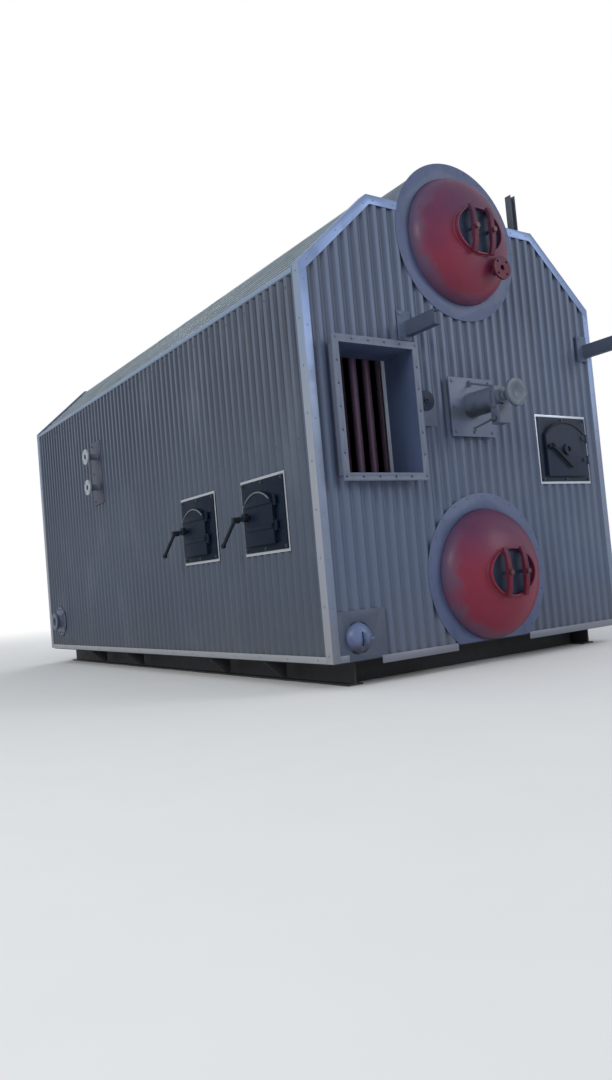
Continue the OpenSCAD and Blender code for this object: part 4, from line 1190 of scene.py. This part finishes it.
# %% The fastener tree
def make_fastener_tree():
    inputs = [("Sides", "Int", 6), ("Radius", "Float", 0.01), ("Height", "Float", 0.008)]
    inputs += [("Washer", "Float", 1.5), ("Seed", "Int", 1)]
    tree, g, given = start_tree("fasteners", inputs)
    sizes = {"Vertices": given["Sides"], "Radius": given["Radius"], "Depth": given["Height"]}
    head = g.add("GeometryNodeMeshCylinder", values=sizes)
    up = g.add("ShaderNodeCombineXYZ", values={2: given["Height"] * 0.5})
    head = g.add("GeometryNodeTransform", values={"Geometry": head, "Translation": up})
    wide, thin = given["Radius"] * given["Washer"], given["Height"] * 0.3
    flat = {"Vertices": 20, "Radius": wide, "Depth": thin}
    washer = g.add("GeometryNodeMeshCylinder", values=flat)
    joined = g.add("GeometryNodeJoinGeometry").socket.node
    g.put(joined.inputs[0], head)
    g.put(joined.inputs[0], washer)
    out = g.add("GeometryNodeInputNamedAttribute", {"data_type": "FLOAT_VECTOR"}, {"Name": "out"})
    turned = g.add("FunctionNodeAlignRotationToVector", {"axis": "Z"}, {"Vector": out})
    turn = {2: 0.0, 3: math.tau, "Seed": given["Seed"]}
    spin = g.add("FunctionNodeRandomValue", {"data_type": "FLOAT"}, turn, out=1)
    spun = g.add("FunctionNodeAxisAngleToRotation", values={"Axis": (0, 0, 1), "Angle": spin})
    both = {"Rotation": turned, "Rotate By": spun}
    turned = g.add("FunctionNodeRotateRotation", {"rotation_space": "LOCAL"}, both)
    fastener = Val(g, joined.outputs[0])
    values = {"Points": given["Geometry"], "Instance": fastener, "Rotation": turned}
    placed = g.add("GeometryNodeInstanceOnPoints", values=values)
    finish_tree(g, placed, given["Finish"])
    return tree


FASTENER_TREE = make_fastener_tree()
# Sides, radius, height, and the washer's radius as a share of the head's
SIZES = {"rivet": (12, 0.0045, 0.0022, 1.4), "screw": (6, 0.0055, 0.0045, 1.7)}
SIZES |= {"bolt": (6, 0.0095, 0.0080, 1.5), "nut": (6, 0.0200, 0.0190, 1.25)}


def fasteners(name, kind, spots, material, body="boiler"):
    """Heads of one kind on (place, outward direction) pairs."""
    mesh = bpy.data.meshes.new(name)
    mesh.from_pydata([p for p, out in spots], [], [])
    out = mesh.attributes.new("out", "FLOAT_VECTOR", "POINT")
    out.data.foreach_set("vector", [c for p, o in spots for c in o])
    obj = loose(name, mesh, material)
    layer = obj.modifiers.new("heads", "NODES")
    layer.node_group = FASTENER_TREE
    values = dict(zip(("Sides", "Radius", "Height", "Washer"), SIZES[kind]))
    set_inputs(layer, {**values, "Seed": len(name), "Finish": material})
    bake(obj, 30)
    print(name, len(spots), kind + "s")
    return declare(obj, body)


# %% [markdown]
# ## Beads along a path
# Welds, rope seals, sheet laps and raised rims are all a cord that follows a path. The tree
# resamples the path, lets the cord's radius vary with a noise for a weld's ripples, and
# sweeps a small circle along it.


# %% The bead tree
def make_bead_tree():
    inputs = [("Radius", "Float", 0.004), ("Step", "Float", 0.006), ("Ripple", "Float", 0.3)]
    tree, g, given = start_tree("beads", inputs + [("Seed", "Int", 1)])
    curve = g.add("GeometryNodeMeshToCurve", values={0: given["Geometry"]})
    steps = g.add("GeometryNodeResampleCurve", values={"Curve": curve}).socket.node
    mode = steps.inputs.get("Mode")
    if mode is not None:
        mode.default_value = "Length"
    else:
        steps.mode = "LENGTH"
    g.put(steps.inputs["Length"], given["Step"])
    place = g.add("GeometryNodeInputPosition")
    values = {"Vector": place, "Scale": 70.0, "Detail": 2.0, "W": given["Seed"]}
    wave = g.add("ShaderNodeTexNoise", {"noise_dimensions": "4D"}, values)
    size = (wave - 0.5) * 2 * given["Ripple"] + 1.0
    circle = g.add("GeometryNodeCurvePrimitiveCircle", values={0: 8, "Radius": given["Radius"]})
    sweep = {"Curve": Val(g, steps.outputs[0]), "Profile Curve": circle, "Fill Caps": True}
    sweep_node = g.add("GeometryNodeCurveToMesh", values=sweep).socket.node
    if "Scale" in sweep_node.inputs:
        g.put(sweep_node.inputs["Scale"], size)
    finish_tree(g, Val(g, sweep_node.outputs[0]), given["Finish"])
    return tree


BEAD_TREE = make_bead_tree()


def beads(name, paths, radius, material, body="boiler", ripple=0.0, step=0.02):
    """Cords along paths; a path is a list of points and whether it closes."""
    points, edges = [], []
    for path, closed in paths:
        start = len(points)
        points += path
        edges += [(start + k, start + k + 1) for k in range(len(path) - 1)]
        if closed:
            edges.append((start + len(path) - 1, start))
    mesh = bpy.data.meshes.new(name)
    mesh.from_pydata(points, edges, [])
    obj = loose(name, mesh, material)
    layer = obj.modifiers.new("cord", "NODES")
    layer.node_group = BEAD_TREE
    values = {"Radius": radius, "Step": step, "Ripple": ripple, "Seed": len(name)}
    set_inputs(layer, {**values, "Finish": material})
    bake(obj, 50)
    print(name, len(paths), "cords", len(obj.data.polygons), "faces")
    return declare(obj, body)


def ring_path(centre, a, b, axis, count=96, lift=None):
    """Closed oval round an axis; lift(x, z) moves each point along the axis."""
    path = []
    for n in range(count):
        t = 2 * math.pi * n / count
        u, v = a * math.cos(t), b * math.sin(t)
        w = lift(u, v) if lift else 0.0
        step = {"x": (w, u, v), "y": (u, w, v)}[axis]
        path.append(tuple(c + d for c, d in zip(centre, step)))
    return path, True


# %% [markdown]
# ## Welds, laps and seals
# The manhole necks and the nozzles are welded to their plates. The drum's hump is clad in
# sheets of about 0.93 m that overlap. The door leaves carry a raised rim along the arch
# and a rope seal behind.

# %% Welds of the drum heads
def on_head(x, dz):
    """Lifts a weld onto the dish; x, dz is the weld's centre from the drum's axis."""
    return lambda u, v: -head_depth(math.hypot(u + x, v + dz))


NOZZLE_X, NOZZLE_DZ, NOZZLE_WELD_R = 0.18, -0.25, 0.032
weld_a, weld_b = MAN_A + NECK + 0.002, MAN_B + NECK + 0.002
neck_paths = [
    ring_path((0, -HALF_L, z), weld_a, weld_b, "y", lift=on_head(0, 0)) for z in (UPPER, LOWER)
]
beads("manhole_welds", neck_paths, 0.006, WELD_RED, ripple=0.35, step=0.006)
middle = (NOZZLE_X, -HALF_L, UPPER + NOZZLE_DZ)
lift = on_head(NOZZLE_X, NOZZLE_DZ)
nozzle_path = ring_path(middle, NOZZLE_WELD_R, NOZZLE_WELD_R, "y", 48, lift)
beads("head_nozzle_weld", [nozzle_path], 0.006, WELD_RED, ripple=0.35, step=0.005)

# %% Laps on the hump
HUMP_SHEETS, LAP_R = 6, HUMP_R + 0.0005
lap_paths = []
for k in range(1, HUMP_SHEETS):
    y = -INNER_Y + 2 * INNER_Y * k / HUMP_SHEETS
    turns = [math.radians(-2 + 4.6 * n) for n in range(41)]
    path = [(LAP_R * math.cos(t), y, UPPER + LAP_R * math.sin(t)) for t in turns]
    lap_paths.append(([p for p in path if p[2] > RIDGE - 0.01], False))
beads("hump_laps", lap_paths, 0.0022, CASING_PAINT, step=0.03)

# %% Welds of the side nozzles and the duct
FLANGE_R, NOZZLE_GAP, PAD_THICK, PIPE_WELD_R = 0.077, 0.308, 0.006, 0.034
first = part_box("side_nozzles")[0] + Vector((0, FLANGE_R, FLANGE_R))
pipes = [(-HALF_W - PAD_THICK, first.y, z) for z in (first.z, first.z + NOZZLE_GAP)]
paths = [ring_path(c, PIPE_WELD_R, PIPE_WELD_R, "x", 40) for c in pipes]
beads("nozzle_welds", paths, 0.004, WELD_GREY, ripple=0.3, step=0.005)
FLANGE_BACK = -HALF_L - 0.0835
corners = [(duct_lo.x, duct_lo.z), (duct_hi.x, duct_lo.z)]
corners += [(duct_hi.x, duct_hi.z), (duct_lo.x, duct_hi.z)]
duct_path = [(x, FLANGE_BACK, z) for x, z in corners]
beads("duct_weld", [(duct_path, True)], 0.004, WELD_GREY, ripple=0.3, step=0.006)


# %% Door rims and seals
def leaf_path(leaf, inset, y, with_foot):
    """Arched outline of a door leaf, inset, in the door's own frame."""
    left_x, right_x, foot, cx, cz, r = leaf
    a, b, r = left_x + inset, right_x - inset, r - inset
    start, end = math.acos((b - cx) / r), math.acos((a - cx) / r)
    turns = [start + (end - start) * n / 30 for n in range(31)]
    arch = [(cx + r * math.cos(t), y, cz + r * math.sin(t)) for t in turns]
    if with_foot:
        return [(b, y, foot + inset), *arch, (a, y, foot + inset)]
    return arch


def side_place(y, points):
    """The side door's own frame turned into place on the left wall."""
    return [(-HALF_W + q, y - p, DOOR_Z + r) for p, q, r in points]


def end_place(points):
    """The end door's own frame set into the outlet end."""
    return [tuple(END_MID + Vector(p)) for p in points]


# A leaf's left edge, right edge and foot, then its arch: centre x, centre z, radius
SIDE_LEAF = (-0.225, 0.166, -0.205, -0.0295, -0.078, 0.250)
END_LEAF = (-0.235, 0.226, -0.215, -0.0045, -0.115, 0.330)
END_MID = Vector((END_DOOR_X, -HALF_L, END_DOOR_Z))
RIM_INSET, RIM_Y, SEAL_INSET, SEAL_Y, SEAL_R = 0.010, -0.040, 0.008, -0.0142, 0.0030
for y, body in zip(DOOR_Y, ("side_door_near", "side_door_far")):
    rim = side_place(y, leaf_path(SIDE_LEAF, RIM_INSET, RIM_Y, False))
    beads(body + "_rim", [(rim, False)], 0.0065, RIM, body)
    seal = side_place(y, leaf_path(SIDE_LEAF, SEAL_INSET, SEAL_Y, True))
    beads(body + "_seal", [(seal, True)], SEAL_R, ROPE, body)
rim = end_place(leaf_path(END_LEAF, RIM_INSET, RIM_Y, False))
beads("end_door_rim", [(rim, False)], 0.0060, LEVER_CASTING, "end_door")
seal = end_place(leaf_path(END_LEAF, SEAL_INSET, SEAL_Y, True))
beads("end_door_seal", [(seal, True)], SEAL_R, ROPE, "end_door")

# %% [markdown]
# ## The soot blower's lever
# The photograph shows a small open hook at the rod's free end. The solid stops at the rod's
# end, so the hook is one more cord along a path, and it rides on the lever's body.

# %% The hooked end
tip = Vector((-0.129, -HALF_L - 0.125, DECK + 1.503))
HOOK_R, HOOK_ROD = 0.014, 0.0045
turns = [math.radians(80 - 18 * n) for n in range(15)]
hook = [
    tuple(tip + Vector((HOOK_R * math.cos(t), 0.004, HOOK_R * math.sin(t) - 0.016))) for t in turns
]
body = "soot_blower_lever"
beads("soot_lever_hook", [(hook, False)], HOOK_ROD, BLOWER_LEVER_PAINT, body)

# %% [markdown]
# ## Bolts, nuts and rivets
# The folded trims are riveted every 300 mm or so. Ports, plates and door frames are bolted.
# The studs of the manhole covers pass through the yokes and carry heavy nuts.


# %% Helpers that place fasteners
def along(a, b, gap, out, ends=0.04):
    """Spots from a to b about a gap apart, the first and last a little inside the ends."""
    a, b = Vector(a), Vector(b)
    length = (b - a).length
    count = max(1, round((length - 2 * ends) / gap))
    way = (b - a).normalized()
    steps = [ends + (length - 2 * ends) * k / count for k in range(count + 1)]
    return [(a + way * step, Vector(out)) for step in steps]


def circle(centre, r, count, axis, out):
    """Spots on a circle round an axis."""
    return [(p, Vector(out)) for p in ring_path(centre, r, r, axis, count)[0]]


def facing(out, points):
    """Spots that all face one way."""
    return [(Vector(p), Vector(out)) for p in points]


FRONT, LEFT = (0, -1, 0), (-1, 0, 0)

# %% Rivets of the trims and the cover rings
RIVET_GAP, RAKE_GAP, BOTTOM_GAP = 0.30, 0.28, 0.36
rivets, ring_rivets = [], []
for end in (-1, 1):
    y, out = end * (HALF_L + SHEET), (0, end, 0)
    for side in (-1, 1):
        x = side * (HALF_W - 0.029)
        rivets += along((x, y, DECK), (x, y, EAVE - 0.06), RIVET_GAP, out, 0.05)
        foot = (side * (HALF_W - 0.03), y, EAVE - 0.010)
        rivets += along(foot, (side * (RIDGE_HALF - 0.01), y, RIDGE - 0.034), RAKE_GAP, out, 0.05)
        outer = (side * (RIDGE_HALF - 0.03), y, RIDGE - 0.032)
        inner = (side * (RING_R - 0.02), y, RIDGE - 0.032)
        rivets += along(outer, inner, 0.2, out, 0.03)
    for z in (UPPER, LOWER):
        spots = circle((0, end * (HALF_L + 0.004), z), RING_R - 0.022, 24, "y", out)
        ring_rivets += [s for s in spots if s[0][2] > DECK + 0.02]
    x, y = -HALF_W - SHEET, end * (HALF_L - 0.036)
    rivets += along((x, y, DECK), (x, y, EAVE), RIVET_GAP, LEFT, 0.05)
x, y, z = -HALF_W - SHEET, HALF_L - 0.12, DECK + 0.022
rivets += along((x, -y, z), (x, y, z), BOTTOM_GAP, LEFT)
fasteners("trim_rivets", "rivet", rivets, RIVET)
fasteners("ring_rivets", "rivet", ring_rivets, RING_RIVET)

# %% Screws of the long side, clear of what is mounted there
pad_lo, pad_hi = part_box("side_nozzle_pad")
port_lo, port_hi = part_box("low_side_port")


def is_clear(y, z):
    """Whether a screw here misses the doors, the nozzle pad and the low port."""
    by_door = any(abs(y - door) < 0.33 and abs(z - DOOR_Z) < 0.3 for door in DOOR_Y)
    on_pad = pad_lo.y < y < pad_hi.y and pad_lo.z < z < pad_hi.z
    by_port = y > port_lo.y and z < port_hi.z
    return not (by_door or on_pad or by_port)


rows = [DECK + up for up in (0.45, 1.45, 2.45)]
spots = [(-HALF_W, k * PITCH, z) for z in rows for k in range(-30, 31, 3) if is_clear(k * PITCH, z)]
fasteners("side_screws", "screw", facing(LEFT, spots), SCREW)


# %% Bolts of the fittings
def thirds(low, high, inset=0.03):
    """Inside one edge, in the middle, and inside the other edge."""
    return low + inset, (low + high) / 2, high - inset


plate_lo, plate_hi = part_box("soot_blower_plate")
us, vs = thirds(plate_lo.x, plate_hi.x), thirds(plate_lo.z, plate_hi.z)
spots = [(u, plate_lo.y, v) for u in us for v in vs if (u, v) != (us[1], vs[1])]
bolts = facing(FRONT, spots)
port_middle = (-HALF_W - 0.010, port_lo.y + 0.162, DECK + 0.315)
bolts += circle(port_middle, 0.138, 10, "x", LEFT)
us = thirds(pad_lo.y, pad_hi.y)
spots = [(pad_lo.x, u, v) for u in (us[0], us[2]) for v in thirds(pad_lo.z, pad_hi.z)]
bolts += facing(LEFT, spots)
bracket_lo, bracket_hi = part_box("platform_brackets")
xs = (bracket_lo.x + 0.020, bracket_hi.x - 0.098)
zs = (bracket_lo.z + 0.025, bracket_hi.z - 0.025)
bolts += facing(FRONT, [(x, -HALF_L - 0.010, z) for x in xs for z in zs])
fasteners("fitting_bolts", "bolt", bolts, FITTING_PAINT)


# %% Bolts of the door frames and nuts of the manholes
def frame_spots(x, z):
    """Three bolts along the top and three along the foot of a frame, in its own place."""
    return [(sx * x, -0.010, sz * z) for sx in (-1, 0, 1) for sz in (-1, 1)]


dark = []
for y in DOOR_Y:
    dark += facing(LEFT, side_place(y, frame_spots(0.262, 0.232)))
dark += facing(FRONT, end_place(frame_spots(0.268, 0.236)))
fasteners("door_bolts", "bolt", dark, DARK_BOLT)
STUD_X, NUT_FOOT = 0.086, -HALF_L - HEAD_H - 0.052
spots = [(x, NUT_FOOT, z) for x in (-STUD_X, STUD_X) for z in (UPPER, LOWER)]
fasteners("manhole_nuts", "nut", facing(FRONT, spots), NUT_PAINT)
